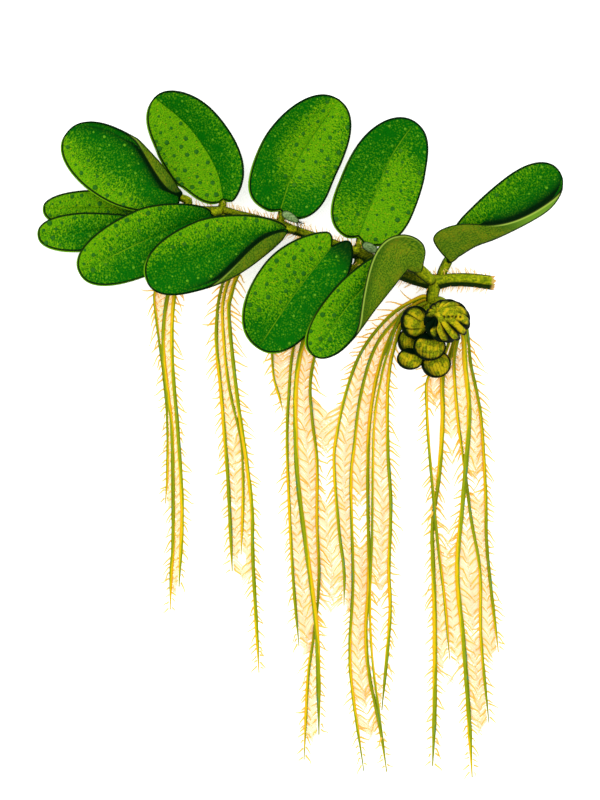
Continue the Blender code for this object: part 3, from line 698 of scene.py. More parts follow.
@cache
def floor_paint():
    """Plain pale paper-like floor."""
    settings = bpy.context.scene.salvinia_stage
    paint = Paint("floor", 0.9, 0.0)
    paint.body = settings.floor
    paint.glow((1, 1, 1), FLOOR_GLOW)
    return paint.finish()


# Curves and sheets


def through(points, shares):
    """Points of a smooth curve through these ones, at these shares of its spans."""
    points = np.array(points, dtype=float)
    padded = np.vstack([2 * points[0] - points[1], points, 2 * points[-1] - points[-2]])
    spans = len(points) - 1
    first = np.minimum((shares * spans).astype(int), spans - 1)
    t = (shares * spans - first)[:, None]
    a, b, c, d = (padded[first + k] for k in range(4))
    return 0.5 * (2 * b + (c - a) * t + (2 * a - 5 * b + 4 * c - d) * t**2 + (3 * b - a - 3 * c + d) * t**3)


def unit(vectors):
    return vectors / np.maximum(np.linalg.norm(vectors, axis=-1, keepdims=True), 1e-9)


def route(points, stations):
    """Places, headings and distances gone at these shares of a smooth curve's length."""
    fine = through(points, np.linspace(0, 1, CURVE_STEPS * (len(points) - 1) + 1))
    gone = np.concatenate([[0], np.cumsum(np.linalg.norm(np.diff(fine, axis=0), axis=1))])
    wanted = np.asarray(stations) * gone[-1]

    def at(distances):
        return np.column_stack([np.interp(distances, gone, fine[:, k]) for k in range(3)])

    near = HEADING_REACH * gone[-1]
    ahead, behind = np.minimum(wanted + near, gone[-1]), np.maximum(wanted - near, 0)
    return at(wanted), unit(at(ahead) - at(behind)), wanted


def axes(headings):
    """The directions to the left of each heading, level with the surface, and upwards from both."""
    left = unit(np.cross(UP, headings))
    return left, np.cross(headings, left)


def smooth(low, high, values):
    """0 at low and 1 at high, smoothly, with low above high to turn it round."""
    t = np.clip((values - low) / (high - low), 0, 1)
    return t * t * (3 - 2 * t)


def sheet(columns, rows):
    """A flat sheet of quads from 0 to 1 each way, with the UV map that its materials read."""
    mesh = bmesh.new()
    mesh.loops.layers.uv.new("skin")
    bmesh.ops.create_grid(mesh, x_segments=columns, y_segments=rows, size=0.5)
    bmesh.ops.translate(mesh, verts=mesh.verts, vec=(0.5, 0.5, 0))
    mesh.verts.ensure_lookup_table()
    return mesh, np.array([vert.co.xy for vert in mesh.verts])


def in_frame(places):
    """Places of the layout in the frame's metres, none lower than the floor."""
    return (np.maximum(places, (-np.inf, -np.inf, FLOOR_GAP)) + LAYOUT) * MM


def set_places(mesh, places, skin=None):
    """Moves the vertices, in their order, and writes the UV map."""
    for vert, place in zip(mesh.verts, in_frame(places)):
        vert.co = place
    if skin is not None:
        layer = mesh.loops.layers.uv["skin"]
        mesh.verts.index_update()
        for face in mesh.faces:
            for loop in face.loops:
                loop[layer].uv = skin[loop.vert.index]


def set_values(mesh, **values):
    """Writes numbers on the vertices, in their order, each row under its name."""
    for name, row in values.items():
        layer = mesh.verts.layers.float.new(name)
        for vert, value in zip(mesh.verts, row):
            vert[layer] = value


def ball(columns, rows):
    """A ball of radius 1 with a UV map, and its vertices' places."""
    mesh = bmesh.new()
    mesh.loops.layers.uv.new("skin")
    bmesh.ops.create_uvsphere(mesh, u_segments=columns, v_segments=rows, radius=1)
    return mesh, np.array([vert.co for vert in mesh.verts])


def new_object(name, data, location=(0, 0, 0), turn=(0, 0, 0)):
    """Puts an object in the scene, turned by these degrees."""
    made = bpy.data.objects.new(name, data)
    made.location = location
    made.rotation_euler = [math.radians(angle) for angle in turn]
    bpy.context.scene.collection.objects.link(made)
    return made


def piece(name, mesh, materials, nodes=()):
    """Makes the object of one mesh, hangs it from the root body, and hides the solids that it stands for."""
    if isinstance(mesh, bmesh.types.BMesh):
        bmesh.ops.recalc_face_normals(mesh, faces=mesh.faces)
        data = bpy.data.meshes.new(name)
        mesh.to_mesh(data)
        mesh.free()
    else:
        data = mesh
        data.name = name
    for material in materials:
        data.materials.append(material)
    data.shade_smooth()
    made = new_object(name, data)
    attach(made, "root")
    if nodes:
        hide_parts(*nodes)


def tube(places, headings, gone, radii, sides, shade=None, cut=None, jag=None):
    """A round skin along a route, closed at both ends, with its ends torn by jag."""
    rows = len(places) - 1
    mesh, flat = sheet(sides, rows)
    station = np.rint(flat[:, 1] * rows).astype(int)
    turn = np.pi * (1 - 2 * flat[:, 0])
    left, lift = axes(headings)
    out = left[station] * -np.cos(turn)[:, None] + lift[station] * np.sin(turn)[:, None]
    where = places[station] + out * radii[station][:, None]
    if jag is not None:
        where += headings[station] * jag(station, turn)[:, None]
    set_places(mesh, where, np.column_stack([gone[station], flat[:, 0]]))
    if shade is not None:
        set_values(mesh, shade=shade(station, turn, out))
    if cut is not None:
        set_values(mesh, cut=cut(station))
    bmesh.ops.remove_doubles(mesh, verts=mesh.verts, dist=1e-8)
    ends = [edge for edge in mesh.edges if edge.is_boundary]
    bmesh.ops.holes_fill(mesh, edges=ends, sides=0)
    return mesh


def copies(template, count):
    """One mesh with this many copies of a template, one after the other, and the template's own places."""
    whole = bmesh.new()
    data = bpy.data.meshes.new("template")
    template.to_mesh(data)
    own = np.array([vert.co for vert in template.verts])
    template.free()
    for _ in range(count):
        whole.from_mesh(data)
    bpy.data.meshes.remove(data)
    made = bpy.data.meshes.new("copies")
    whole.to_mesh(made)
    whole.free()
    return made, own


def write_places(data, places):
    """Moves the vertices of a finished mesh, in their order."""
    data.vertices.foreach_set("co", in_frame(places.reshape(-1, 3)).astype(np.float32).ravel())
    data.update()


def write_values(data, name, values):
    """Writes a number on every vertex of a finished mesh, in their order."""
    data.attributes.new(name, "FLOAT", "POINT").data.foreach_set("value", values.astype(np.float32).ravel())


# Floating leaves


def width_share(blade, at, side):
    """How wide each half is at each share of the length, from 0 at its ends to 1."""
    before = at < blade.widest
    reach = np.where(before, blade.widest, 1 - blade.widest)
    bluntness = np.where(before, np.where(side > 0, *blade.base_bluntness), TIP_BLUNTNESS)
    return np.maximum(0, 1 - (np.abs(at - blade.widest) / reach) ** bluntness) ** (1 / bluntness)


def half_widths(blade, at, side):
    """How far each half runs on to its fold or margin, and how much of it is turned over."""
    share = width_share(blade, at, side)
    width = share * np.where(side > 0, *blade.widths)
    folded = side == blade.folded
    turned = np.where(folded, share * (blade.roll + blade.lobe * (1 - at) ** blade.fade), 0)
    over = width - blade.bend * np.sin(np.minimum(turned / blade.bend, np.pi / 2))
    flat = np.where(folded, np.maximum(LEAST_OPEN * width, over), width)
    return np.maximum(flat, 1e-4), turned


def profile(blade, at, across, side):
    """Distances out and up from the midrib, and the slope there."""
    flat, turned = half_widths(blade, at, side)
    slope = np.radians(np.where(side > 0, *blade.tilts))
    step = np.abs(across) * (flat + turned) / SLOPE_STEPS
    out, up = np.zeros(len(at)), np.zeros(len(at))
    for i in range(SLOPE_STEPS + 1):
        gone = step * i
        fold = np.minimum(np.maximum(gone - flat, 0) / blade.bend, math.radians(FOLD_MOST))
        angle = slope + math.radians(blade.cup) * np.minimum(gone / flat, 1) + fold
        if i < SLOPE_STEPS:
            out += np.cos(angle) * step
            up += np.sin(angle) * step
    return out, up, angle


def blade_points(blade, at, across, waves):
    """Middle points of a blade, its upper side's directions, and the distances gone along its midrib."""
    side = np.where(across >= 0, 1, -1)
    out, up, angle = profile(blade, at, across, side)
    angle = np.where(across == 0, 0, angle)
    places, headings, gone = route(blade.midrib, at)
    left, lift = axes(headings)
    flat, turned = half_widths(blade, at, side)
    beside = 1 - (1 - np.minimum(np.abs(across) * (flat + turned) / LOBE_NOTCH, 1)) ** 2
    back = np.where(side > 0, *blade.lobes) * (1 - at) ** LOBE_POWER * np.abs(across) * beside
    swing = WAVE_HEIGHTS[0] * np.abs(across) * np.sin(at * waves[0] + waves[1])
    swing += WAVE_HEIGHTS[1] * np.sin(at * 17 + across * waves[2])
    middle = places + left * (side * out)[:, None] + lift * (up + swing)[:, None] - headings * back[:, None]
    normal = lift * np.cos(angle)[:, None] - left * (side * np.sin(angle))[:, None]
    return middle, normal, gone


def blade_lit_tone(blade, at, across, side):
    """How light the upper side is, from 0 to 1: painted light and shade over the leaf's own green."""
    inner = np.where(side > 0, blade.lit_tones[0], blade.lit_tones[2])
    outer = np.where(side > 0, blade.lit_tones[1], blade.lit_tones[3])
    both = (blade.lit_tones[0] + blade.lit_tones[2]) / 2
    blend = (1 - blade.split) * (1 - smooth(0, 0.25, np.abs(across)))
    inner = inner * (1 - blend) + both * blend
    lit_tone = inner + (outer - inner) * smooth(0.1, 1, np.abs(across))
    return lit_tone + blade.base_lit_tone * smooth(0.45, 0.05, at) + blade.tip_lit_tone * smooth(0.55, 0.95, at)


def fold_shade(blade, at, across, side):
    """The painted shadow where the folded margin stands over the blade, and the painted shade at the base of each
    half.
    """
    dusk = np.where(side > 0, *blade.dusk) * smooth(0.2, 0.02, at + 0.08 * (1 - np.abs(across)))
    if not blade.folded:
        return dusk
    out, _, _ = profile(blade, at, across, side)
    free, _, _ = profile(blade, at, np.ones(len(at)), side)
    flat, turned = half_widths(blade, at, side)
    upper = np.abs(across) * (flat + turned) < flat
    beyond = np.maximum(free - out, 0)
    cast = smooth(0.45, 0.15, beyond) + blade.shadow * np.exp(-beyond / (0.15 + 0.25 * blade.shadow))
    near = np.where(upper, cast, 0.2)
    closed = smooth(0.4, 1.5, turned / blade.bend) * (turned > 0)
    return np.clip(near * closed * min(blade.shadow, 1) + dusk, 0, 0.97)


def rim_nearness(flat, middle):
    """How far each vertex of a round sheet is from its rim, and how much the rim there faces down and left, where it
    gets a painted highlight.
    """
    around = np.flatnonzero(np.abs(flat - 0.5).max(axis=1) > 0.4999)
    around = around[np.argsort(np.arctan2(*(flat[around] - 0.5).T[::-1]))]
    corners = middle[np.append(around, around[0])]
    shares = np.linspace(0, 1, RIM_STEPS, endpoint=False)[None, :, None]
    points = (corners[:-1, None] * (1 - shares) + corners[1:, None] * shares).reshape(-1, 3)
    tangents = unit(np.roll(points, -3 * RIM_STEPS, axis=0) - np.roll(points, 3 * RIM_STEPS, axis=0))
    glow = smooth(0.2, 0.7, tangents[:, 1] * GLOW_SIDE[0] - tangents[:, 0] * GLOW_SIDE[1])
    tree = KDTree(len(points))
    for i, point in enumerate(points):
        tree.insert(point, i)
    tree.balance()
    found = [tree.find(place) for place in middle]
    return np.array([distance for _, _, distance in found]), glow[[i for _, i, _ in found]]


def blade_mesh(blade, waves, thickness):
    """A closed skin round the blade, from a round sheet that is laid along its midrib."""
    mesh, flat = sheet(BLADE_CELLS, BLADE_CELLS)
    x, y = (2 * flat - 1).T
    disc_x, disc_y = x * np.sqrt(1 - y**2 / 2), y * np.sqrt(1 - x**2 / 2)
    at = np.clip((disc_x + 1) / 2, 0, 1)
    rim = np.sqrt(np.maximum(1 - disc_x**2, 1e-9))
    across = np.clip(np.where(np.abs(x) > 0.9999, np.sign(y), disc_y / rim), -1, 1)
    side = np.where(across >= 0, 1, -1)
    middle, normal, gone = blade_points(blade, at, across, waves)
    flat_width, turned = half_widths(blade, at, side)
    width = flat_width + turned
    reach = np.abs(across) * width
    half = thickness / 2 * np.sqrt(np.maximum(0, 1 - np.abs(across) ** 6)) * smooth(-0.06, 0.06, at)
    half += EDGE_HALF_THICKNESS
    groove = MIDRIB_GROOVE[0] * np.exp(-((reach / MIDRIB_GROOVE[1]) ** 2))
    keel = MIDRIB_KEEL[0] * np.exp(-((reach / MIDRIB_KEEL[1]) ** 2)) * (1 - at)
    upper = middle + normal * (half - groove)[:, None]
    lower = middle - normal * (half + keel)[:, None]
    edge, glow = rim_nearness(flat, middle)
    angle = profile(blade, at, across, side)[2]
    crest = np.where((reach > flat_width) & (turned > 1.2 * blade.bend), blade.bend * (1 - np.sin(angle)), OFF_CREST)
    # No painted highlight along a turned margin.
    glow *= turned < 0.01
    set_places(mesh, upper, np.column_stack([gone, side * reach]))
    set_values(
        mesh,
        edge=edge,
        # painted shadow of the folded margin, and painted shade at the base
        deep=fold_shade(blade, at, across, side),
        rib=blade.rib * smooth(0.97, 0.85, at) * smooth(blade.rib_from - 0.1, blade.rib_from + 0.1, at),
        crest=crest,
        glow=glow,
        pale=blade.pale * smooth(blade.pale_from - 0.05, blade.pale_from + 0.1, at),
        wash=blade.wash * smooth(0.4, 0.7, at),
    )
    number = mesh.verts.layers.int.new("number")
    for i, vert in enumerate(mesh.verts):
        vert[number] = i
    # Painted light and shade for each face corner, so that the halves can meet in a hard line.
    lit_tone = mesh.loops.layers.float.new("lit_tone")
    for face in mesh.faces:
        rows = [loop.vert[number] for loop in face.loops]
        facing = 1 if across[rows].mean() >= 0 else -1
        for loop, value in zip(face.loops, blade_lit_tone(blade, at[rows], across[rows], np.full(len(rows), facing))):
            loop[lit_tone] = value
    grown = bmesh.ops.extrude_face_region(mesh, geom=list(mesh.faces), use_keep_orig=True)
    below = in_frame(lower)
    for item in grown["geom"]:
        if isinstance(item, bmesh.types.BMVert):
            item.co = below[item[number]]
        elif isinstance(item, bmesh.types.BMFace):
            item.material_index = 1
    mesh.verts.layers.int.remove(mesh.verts.layers.int["number"])
    return mesh


def scatter(random, blade, spacing):
    """Places for raised dots on the open upper side, none nearer to another than the spacing."""
    kept = []
    for _ in range(DOT_TRIES):
        at, across = random.uniform(0.05, 0.95), random.uniform(-0.93, 0.93)
        side = 1 if across >= 0 else -1
        flat, turned = half_widths(blade, np.array([at]), np.array([side]))
        reach = abs(across) * (flat + turned)[0]
        margin = DOT_MARGIN_GAP if turned[0] == 0 else 1.2 * blade.bend
        if not DOT_MIDRIB_GAP < reach < flat[0] - margin:
            continue
        spot = np.array((at * DOT_BLADE_LENGTH, side * reach))
        if all(np.hypot(*(spot - other[0])) > spacing for other in kept):
            kept.append((spot, at, across))
    return np.array([(at, across) for _, at, across in kept]).T


def papilla_mesh(random, blade, waves, thickness, radius, spacing):
    """Low domes scattered over a blade."""
    at, across = scatter(random, blade, spacing)
    side = np.where(across >= 0, 1, -1)
    open_places = fold_shade(blade, at, across, side) < DOT_DARKEST
    at, across, side = at[open_places], across[open_places], side[open_places]
    middle, normal, _ = blade_points(blade, at, across, waves)
    top = middle + normal * (thickness / 2 + 0.02)
    # Painted light and shade under each dot, darker still in the painted fold shadow.
    lit_tone = blade_lit_tone(blade, at, across, side) - 2 * fold_shade(blade, at, across, side)
    template = bmesh.new()
    bmesh.ops.create_uvsphere(template, u_segments=8, v_segments=4, radius=1)
    data, own = copies(template, len(at))
    along = unit(np.cross(normal, UP + np.array((0.3, 0.1, 0))))
    other = np.cross(normal, along)
    size = radius * random.uniform(0.45, 1.1, len(at)) * np.where(lit_tone > 0.42, 1, 0.6)
    spread = own[None, :, 0, None] * along[:, None] + own[None, :, 1, None] * other[:, None]
    rise = own[None, :, 2, None] * normal[:, None] * DOT_FLATNESS
    write_places(data, top[:, None] + (spread + rise) * size[:, None, None])
    write_values(data, "lit_tone", np.repeat(lit_tone, len(own)))
    return data


def stem_route():
    """The stem's points, which sink evenly from its cut end to its tip."""
    fall = (STEM_HEIGHT_TIP - STEM_HEIGHT_CUT_END) / (len(STEM_ROUTE) - 1)
    return [(x, y, STEM_HEIGHT_CUT_END + fall * i) for i, (x, y) in enumerate(STEM_ROUTE)]


def petiole_mesh(blade):
    """A short stalk from the stem's middle to under the blade's base."""
    stem, _, _ = route(stem_route(), np.linspace(0, 1, 400))
    foot = np.array(blade.foot)
    root = stem[np.argmin(np.linalg.norm((stem - foot)[:, :2], axis=1))]
    inner, _, _ = route(blade.midrib, np.array([0.0, 0.09]))
    under = np.array((0, 0, blade.neck + 0.12))
    points = [root, (root + foot - under * 0.6) / 2, foot - under * 0.6, inner[1] - under]
    reach = np.linalg.norm(foot - root) + np.linalg.norm(inner[0] - foot)
    places, headings, gone = route(points, np.linspace(0, 1, PETIOLE_ROWS))
    radii = PETIOLE_RADIUS + (blade.neck - PETIOLE_RADIUS) * smooth(0, 0.7 * reach, gone)
    radii *= 1 - 0.6 * smooth(reach, gone[-1], gone)
    return tube(places, headings, gone, radii, PETIOLE_SIDES, shade=stalk_shade)


def stalk_shade(station, turn, out):
    """Painted shade down both sides of a stalk, broad at the left, and along its lower side."""
    left, right, below = smooth(0.35, 0.75, -out[:, 0]), smooth(0.75, 0.95, out[:, 0]), smooth(0.4, 0.8, -out[:, 1])
    return np.clip(left + 0.9 * right + below, 0, 0.97)


class SalviniaLeaves(bpy.types.Operator):
    """Make the floating leaves, each with its petiole and raised dots"""

    bl_idname = "salvinia.leaves"
    bl_label = "Floating Leaves"

    def execute(self, context):
        settings = context.scene.salvinia_leaf
        thickness = settings.thickness / MM
        for i, (name, blade) in enumerate(LEAVES.items()):
            random = np.random.default_rng(LEAF_SEED + i)
            waves = (random.uniform(6, 11), random.uniform(0, 6), random.uniform(2, 5))
            mesh = blade_mesh(blade, waves, thickness)
            piece(name + "_blade", mesh, [upper_paint(), under_paint()], [name])
            dots = papilla_mesh(
                random, blade, waves, thickness, settings.papilla_radius / MM, settings.papilla_spacing / MM
            )
            piece(name + "_papillae", dots, [papilla_paint()])
            piece(name + "_petiole", petiole_mesh(blade), [stem_paint()])
        return {"FINISHED"}


# Hairs


def hair_mesh(feet, directions, lengths, radii, droop, pale, sway):
    """Thin three-sided hairs that bend as they go, from arrays with a row for each hair."""
    template = bmesh.new()
    bmesh.ops.create_cone(template, cap_ends=True, segments=3, radius1=1, radius2=0.5, depth=1)
    long = [edge for edge in template.edges if abs(edge.verts[0].co.z - edge.verts[1].co.z) > 0.5]
    bmesh.ops.subdivide_edges(template, edges=long, cuts=3, use_grid_fill=True)
    data, own = copies(template, len(feet))
    along = own[:, 2] + 0.5
    directions = unit(directions)
    side = unit(np.cross(directions, UP + np.array((0.01, 0.02, 0))))
    lift = np.cross(side, directions)
    t = along[None, :, None]
    line = feet[:, None] + directions[:, None] * (lengths[:, None, None] * t)
    line = line + droop[:, None] * (lengths[:, None, None] * t**2)
    line = line + side[:, None] * (sway[:, None, None] * np.sin(2 * np.pi * t))
    round_off = own[None, :, 0, None] * side[:, None] + own[None, :, 1, None] * lift[:, None]
    where = line + round_off * radii[:, None, None]
    write_places(data, where)
    write_values(data, "pale", np.repeat(pale, len(own)))
    write_values(data, "tip", np.tile(along, len(feet)))
    return data


class HairRows:
    """Gathers the hairs of one piece, a row for each."""

    def __init__(self):
        self.rows = []

    def add(self, foot, direction, length, radius, droop, pale, sway=0.0):
        self.rows.append((*foot, *direction, length, radius, *droop, pale, sway))

    def mesh(self):
        rows = np.array(self.rows)
        return hair_mesh(rows[:, 0:3], rows[:, 3:6], rows[:, 6], rows[:, 7], rows[:, 8:11], rows[:, 11], rows[:, 12])


# Threads of the submerged leaves


def thread_points(name):
    """The thread's route, led in from the end of its stalk."""
    points, layer, _, _, stalk = THREADS[name]
    height = LAYER_HEIGHTS[layer]
    behind, start = STALKS[stalk][-2:]
    lead = tuple((np.array(start) + np.array(behind)) / 2)
    x, y = points[0]
    rest = [(px, py, height) for px, py in points[1:]]
    return [lead, (x, y, (start[2] + height) / 2), *rest]


def gap_beside(place, left, heading, others):
    """How far the nearest other thread is on that side, and its height."""
    offset = others - place
    sideways = offset @ left
    nearest_gap, farthest_gap = NEIGHBOUR_GAPS
    found = (np.abs(offset @ heading) < BESIDE) & (sideways > nearest_gap) & (sideways < farthest_gap)
    if not found.any():
        return NO_GAP, place[2]
    nearest = np.argmin(np.where(found, sideways, NO_GAP))
    return sideways[nearest], others[nearest, 2]


def in_hole(place):
    """Whether a place is in a hole of the web, whose edge is ragged."""
    ragged = 1 + 0.4 * math.sin(5.3 * place[1] + 3 * place[0]) + 0.3 * math.sin(11.7 * place[1])
    return any(((place[0] - x) / wide) ** 2 + ((place[1] - y) / high) ** 2 < ragged for x, y, wide, high in WEB_HOLES)


def thread_hairs(random, name, samples, settings):
    """Rows of hairs down both sides: long and loose outside a group, and a web where another thread is near."""
    _, _, bare, thick, _ = THREADS[name]
    others = np.vstack([there for other, there in samples.items() if other != name])
    reach, foot_radius = settings.hair_length / MM, settings.hair_radius / MM
    whole = route(thread_points(name), np.array([1.0]))[2][0]
    hairs = HairRows()
    stations = np.arange(bare, whole - HAIR_END, HAIR_STEP)
    places, headings, _ = route(thread_points(name), stations / whole)
    left, _ = axes(headings)
    for sign in (1, -1):
        last = last_outer = -9.0
        for place, heading, beside, gone in zip(places, headings, left * sign, stations):
            gap, height = gap_beside(place, beside, heading, others)
            webbed = WEB_GAPS[0] < gap < WEB_GAPS[1] and not in_hole(place + beside * gap / 2)
            foot = place + beside * thick * 0.9 + heading * random.uniform(-0.1, 0.1)
            if webbed:
                rise = (height - place[2]) / max(gap, 0.5) * 0.5
                span = gap * random.uniform(0.52, 0.62) - thick * 0.5
                slant = random.uniform(0.85, 1.15)
                hairs.add(
                    foot - (0, 0, 0.06), beside + heading * slant * 0.8 + UP * rise, span * 1.3,
                    random.uniform(0.1, 0.125), heading * 0.22, random.uniform(0.86, 1.0),
                )
                if gone - last > random.uniform(0.5, 1.05):
                    last = gone
                    wave = random.uniform(-0.1, 0.6)
                    hairs.add(
                        foot + (0, 0, 0.1), beside + heading * (slant - 0.2) + UP * rise,
                        span * random.uniform(0.9, 1.5), foot_radius * random.uniform(0.65, 1.0), heading * wave,
                        random.uniform(0.0, 0.15), random.uniform(-0.12, 0.12) * span,
                    )
            elif gap > OUTER_GAP and gone - last_outer > random.uniform(0.3, 1.0):
                last_outer = gone
                lean = random.uniform(0.4, 1.5)
                long = reach * random.uniform(0.4, 1.1) * (1.2 - 0.6 * gone / whole)
                hairs.add(
                    foot, beside + heading * lean + UP * random.uniform(-0.15, 0.2), min(long, 0.8 * gap),
                    foot_radius * random.uniform(0.7, 1.05), heading * random.uniform(-0.3, 0.5),
                    random.uniform(0.0, 0.15), random.uniform(-0.06, 0.06),
                )
    return hairs


def stalk_mesh(stalk):
    """A submerged leaf's stalk, which thins from its node to where its threads part."""
    places, headings, gone = route(STALKS[stalk], np.linspace(0, 1, STALK_ROWS))
    share = gone / gone[-1]
    radii = STALK_RADIUS_FIRST if stalk == 1 else STALK_RADIUS
    radii = radii - 0.18 * smooth(0, 0.5, share) - 0.1 * smooth(0.7, 1, share)
    return tube(places, headings, gone, radii, STALK_SIDES, shade=stalk_shade)


def thread_mesh(random, name):
    """A thread that thins to its tip, and whose yellow side, a painted highlight, winds a little."""
    places, headings, gone = route(thread_points(name), np.linspace(0, 1, THREAD_ROWS))
    share = gone / gone[-1]
    radii = THREADS[name][3] * (1.3 - 0.3 * smooth(0.0, 0.25, share)) * (1 - 0.7 * smooth(0.9, 1, share))
    radii *= 1 + 0.05 * np.sin(gone * random.uniform(1.5, 2.5) + random.uniform(0, 6))
    turned = (0.0 if random.uniform() < 0.75 else np.pi) + 0.8 * np.sin(0.3 * gone + random.uniform(0, 6))

    def shade(station, turn, out):
        return np.cos(turn - turned[station])

    return tube(places, headings, gone, radii, THREAD_SIDES, shade=shade)


class SalviniaThreads(bpy.types.Operator):
    """Make the submerged leaves: four stalks, and their threads with hairs"""

    bl_idname = "salvinia.threads"
    bl_label = "Submerged Leaves"

    def execute(self, context):
        for stalk in STALKS:
            piece(f"stalk_{stalk}", stalk_mesh(stalk), [stem_paint()], [f"submerged_stalk_{stalk}"])
        samples = {name: route(thread_points(name), np.linspace(0, 1, THREAD_SAMPLES))[0] for name in THREADS}
        for i, name in enumerate(THREADS):
            random = np.random.default_rng(THREAD_SEED + i)
            piece(name + "_thread", thread_mesh(random, name), [thread_paint()], [name])
            hairs = thread_hairs(random, name, samples, context.scene.salvinia_thread)
            piece(name + "_hairs", hairs.mesh(), [hair_paint()])
        return {"FINISHED"}


# Stem


def stem_mesh(random):
    """The stem with its torn cut end, and its places, headings and radii."""
    places, headings, gone = route(stem_route(), np.linspace(0, 1, STEM_ROWS))
    share = gone / gone[-1]
    radii = STEM_RADIUS_CUT_END + (STEM_RADIUS_TIP - STEM_RADIUS_CUT_END) * share
    for node in NODE_PLACES:
        distance = np.linalg.norm(places[:, :2] - np.array(node), axis=1)
        radii += NODE_SWELLING * np.exp(-((distance / NODE_LENGTH) ** 2))
    radii *= 1 - 0.6 * smooth(0.97, 1, share)
    teeth = random.uniform(-0.25, 0.3, TEETH)
    cap = np.array(TORN_CAP)
    places = np.concatenate([places[:1].repeat(len(cap), axis=0), places])
    headings = np.concatenate([headings[:1].repeat(len(cap), axis=0), headings])
    radii = np.concatenate([cap * radii[0], radii])
    gone = np.concatenate([cap * 0, gone])
    fullness = np.concatenate([cap**2, np.ones(STEM_ROWS)])
    # Leaves shade it most between nodes 1 and 2, and a little from there to its tip.
    x = places[:, 0]
    dim = 0.7 * smooth(12.8, 11.0, x) * smooth(5.9, 6.5, x) + 0.25 * smooth(6.5, 5.9, x)

    def torn(station, turn):
        around = (turn / np.pi + 1) / 2 * TEETH % TEETH
        tooth = np.interp(around, np.arange(TEETH + 1), np.append(teeth, teeth[0]))
        inner = 0.25 * (1 - fullness[station])
        return tooth * np.exp(-((gone[station] / TEETH_LENGTH) ** 2)) * fullness[station] + inner

    def shade(station, turn, out):
        # Painted shade along the lower side and the leaves' painted shadow, with a dark line along the top.
        below, above = smooth(-0.15, -0.4, out[:, 1]), smooth(0.75, 0.93, out[:, 1])
        return np.clip(below + 0.9 * above + dim[station], 0, 0.97)

    def cut(station):
        return smooth(TEETH_LENGTH, 0.0, gone[station]) * 0.85

    mesh = tube(places, headings, gone, radii, STEM_SIDES, shade=shade, cut=cut, jag=torn)
    return mesh, places, headings, radii


def stem_hairs(random, places, headings, radii, reach):
    """Short hairs down both sides of the stem."""
    hairs = HairRows()
    left, lift = axes(headings)
    for station in range(8, STEM_ROWS - 6):
        for sign in (1, -1):
            if random.uniform() < STEM_HAIR_SHARE:
                out = left[station] * sign + lift[station] * random.uniform(-0.3, 0.6)
                hairs.add(
                    places[station] + out * radii[station] * 0.85,
                    out + headings[station] * random.uniform(-0.2, 1.0), reach * random.uniform(0.5, 1.3),
                    STEM_HAIR_RADIUS, headings[station] * 0.1, random.uniform(0, 0.15),
                )
    return hairs


class SalviniaStem(bpy.types.Operator):
    """Make the stem, with its torn cut end and short hairs"""

    bl_idname = "salvinia.stem"
    bl_label = "Stem"

    def execute(self, context):
        random = np.random.default_rng(STEM_SEED)
        mesh, places, headings, radii = stem_mesh(random)
        piece("rhizome_skin", mesh, [stem_paint()], ["rhizome"])
        hairs = stem_hairs(random, places, headings, radii, context.scene.salvinia_stem.hair_length / MM)
        piece("rhizome_hairs", hairs.mesh(), [hair_paint()])
        return {"FINISHED"}


# Fruits and buds


def fruit_mesh(fruit, deepest):
    """A ball whose rounded ribs run down from its pole, with grooves that widen where its wedges are."""
    mesh, own = ball(fruit.ribs * (12 if fruit.ribs < 15 else 8), FRUIT_ROWS)
    turn = np.arctan2(own[:, 1], own[:, 0])
    tilt = np.arccos(np.clip(own[:, 2], -1, 1))
    sizes = np.array(fruit.sizes)
    pole = unit(np.array(fruit.pole, dtype=float))
    across = unit(np.cross(pole, (0.2, 0.9, 0.1)))
    globe = own[:, :1] * across + own[:, 1:2] * np.cross(pole, across) + own[:, 2:] * pole
    rib = np.abs(np.cos(turn * fruit.ribs / 2))
    low = smooth(0.3, -0.3, globe[:, 1]) if fruit.wedges else np.ones(len(own))
    wide = 0.28 + fruit.wedges * low * smooth(0.35, 1.2, tilt)
    reach = low * smooth(0.25, 0.6, tilt) + (1 - low) * smooth(0.5, 0.75, np.hypot(globe[:, 0], globe[:, 1]))
    groove = smooth(wide, wide * 0.35, rib) * reach
    dent = 0.9 * groove + 0.25 * (1 - rib) * reach
    # Painted shade in the grooves, the hollow and the pits.
    ink = fruit.ink * groove
    if fruit.hollow:
        hollow = smooth(0.9, 0.97, globe @ unit(np.array(fruit.hollow)))
        dent, ink = dent + 1.2 * hollow, np.maximum(ink, hollow)
    for x, y in fruit.dots:
        pit = smooth(0.17, 0.08, np.hypot(*(globe * sizes)[:, :2].T - np.array(((x,), (y,))))) * (globe[:, 2] > 0)
        dent, ink = dent + 0.3 * pit, np.maximum(ink, pit)
    set_places(mesh, np.array(fruit.centre) + globe * sizes * (1 - deepest * fruit.depth * dent)[:, None])
    # Painted shadow round the pole, and painted shade on the sides and at the lower left.
    ink = np.maximum(ink, smooth(fruit.cap, fruit.cap - 0.2, tilt) * (fruit.cap > 0))
    level = unit(globe / sizes)
    limb = smooth(0.8, 0.55, level[:, 2]) if fruit.depth < 1 else smooth(0.66, 0.4, level[:, 2])
    dusk = fruit.dusk * smooth(0.1, 0.9, globe[:, :2] @ np.array((-0.7, -0.6)))
    set_values(mesh, groove=np.clip(ink + limb + dusk, 0, 1))
    return mesh


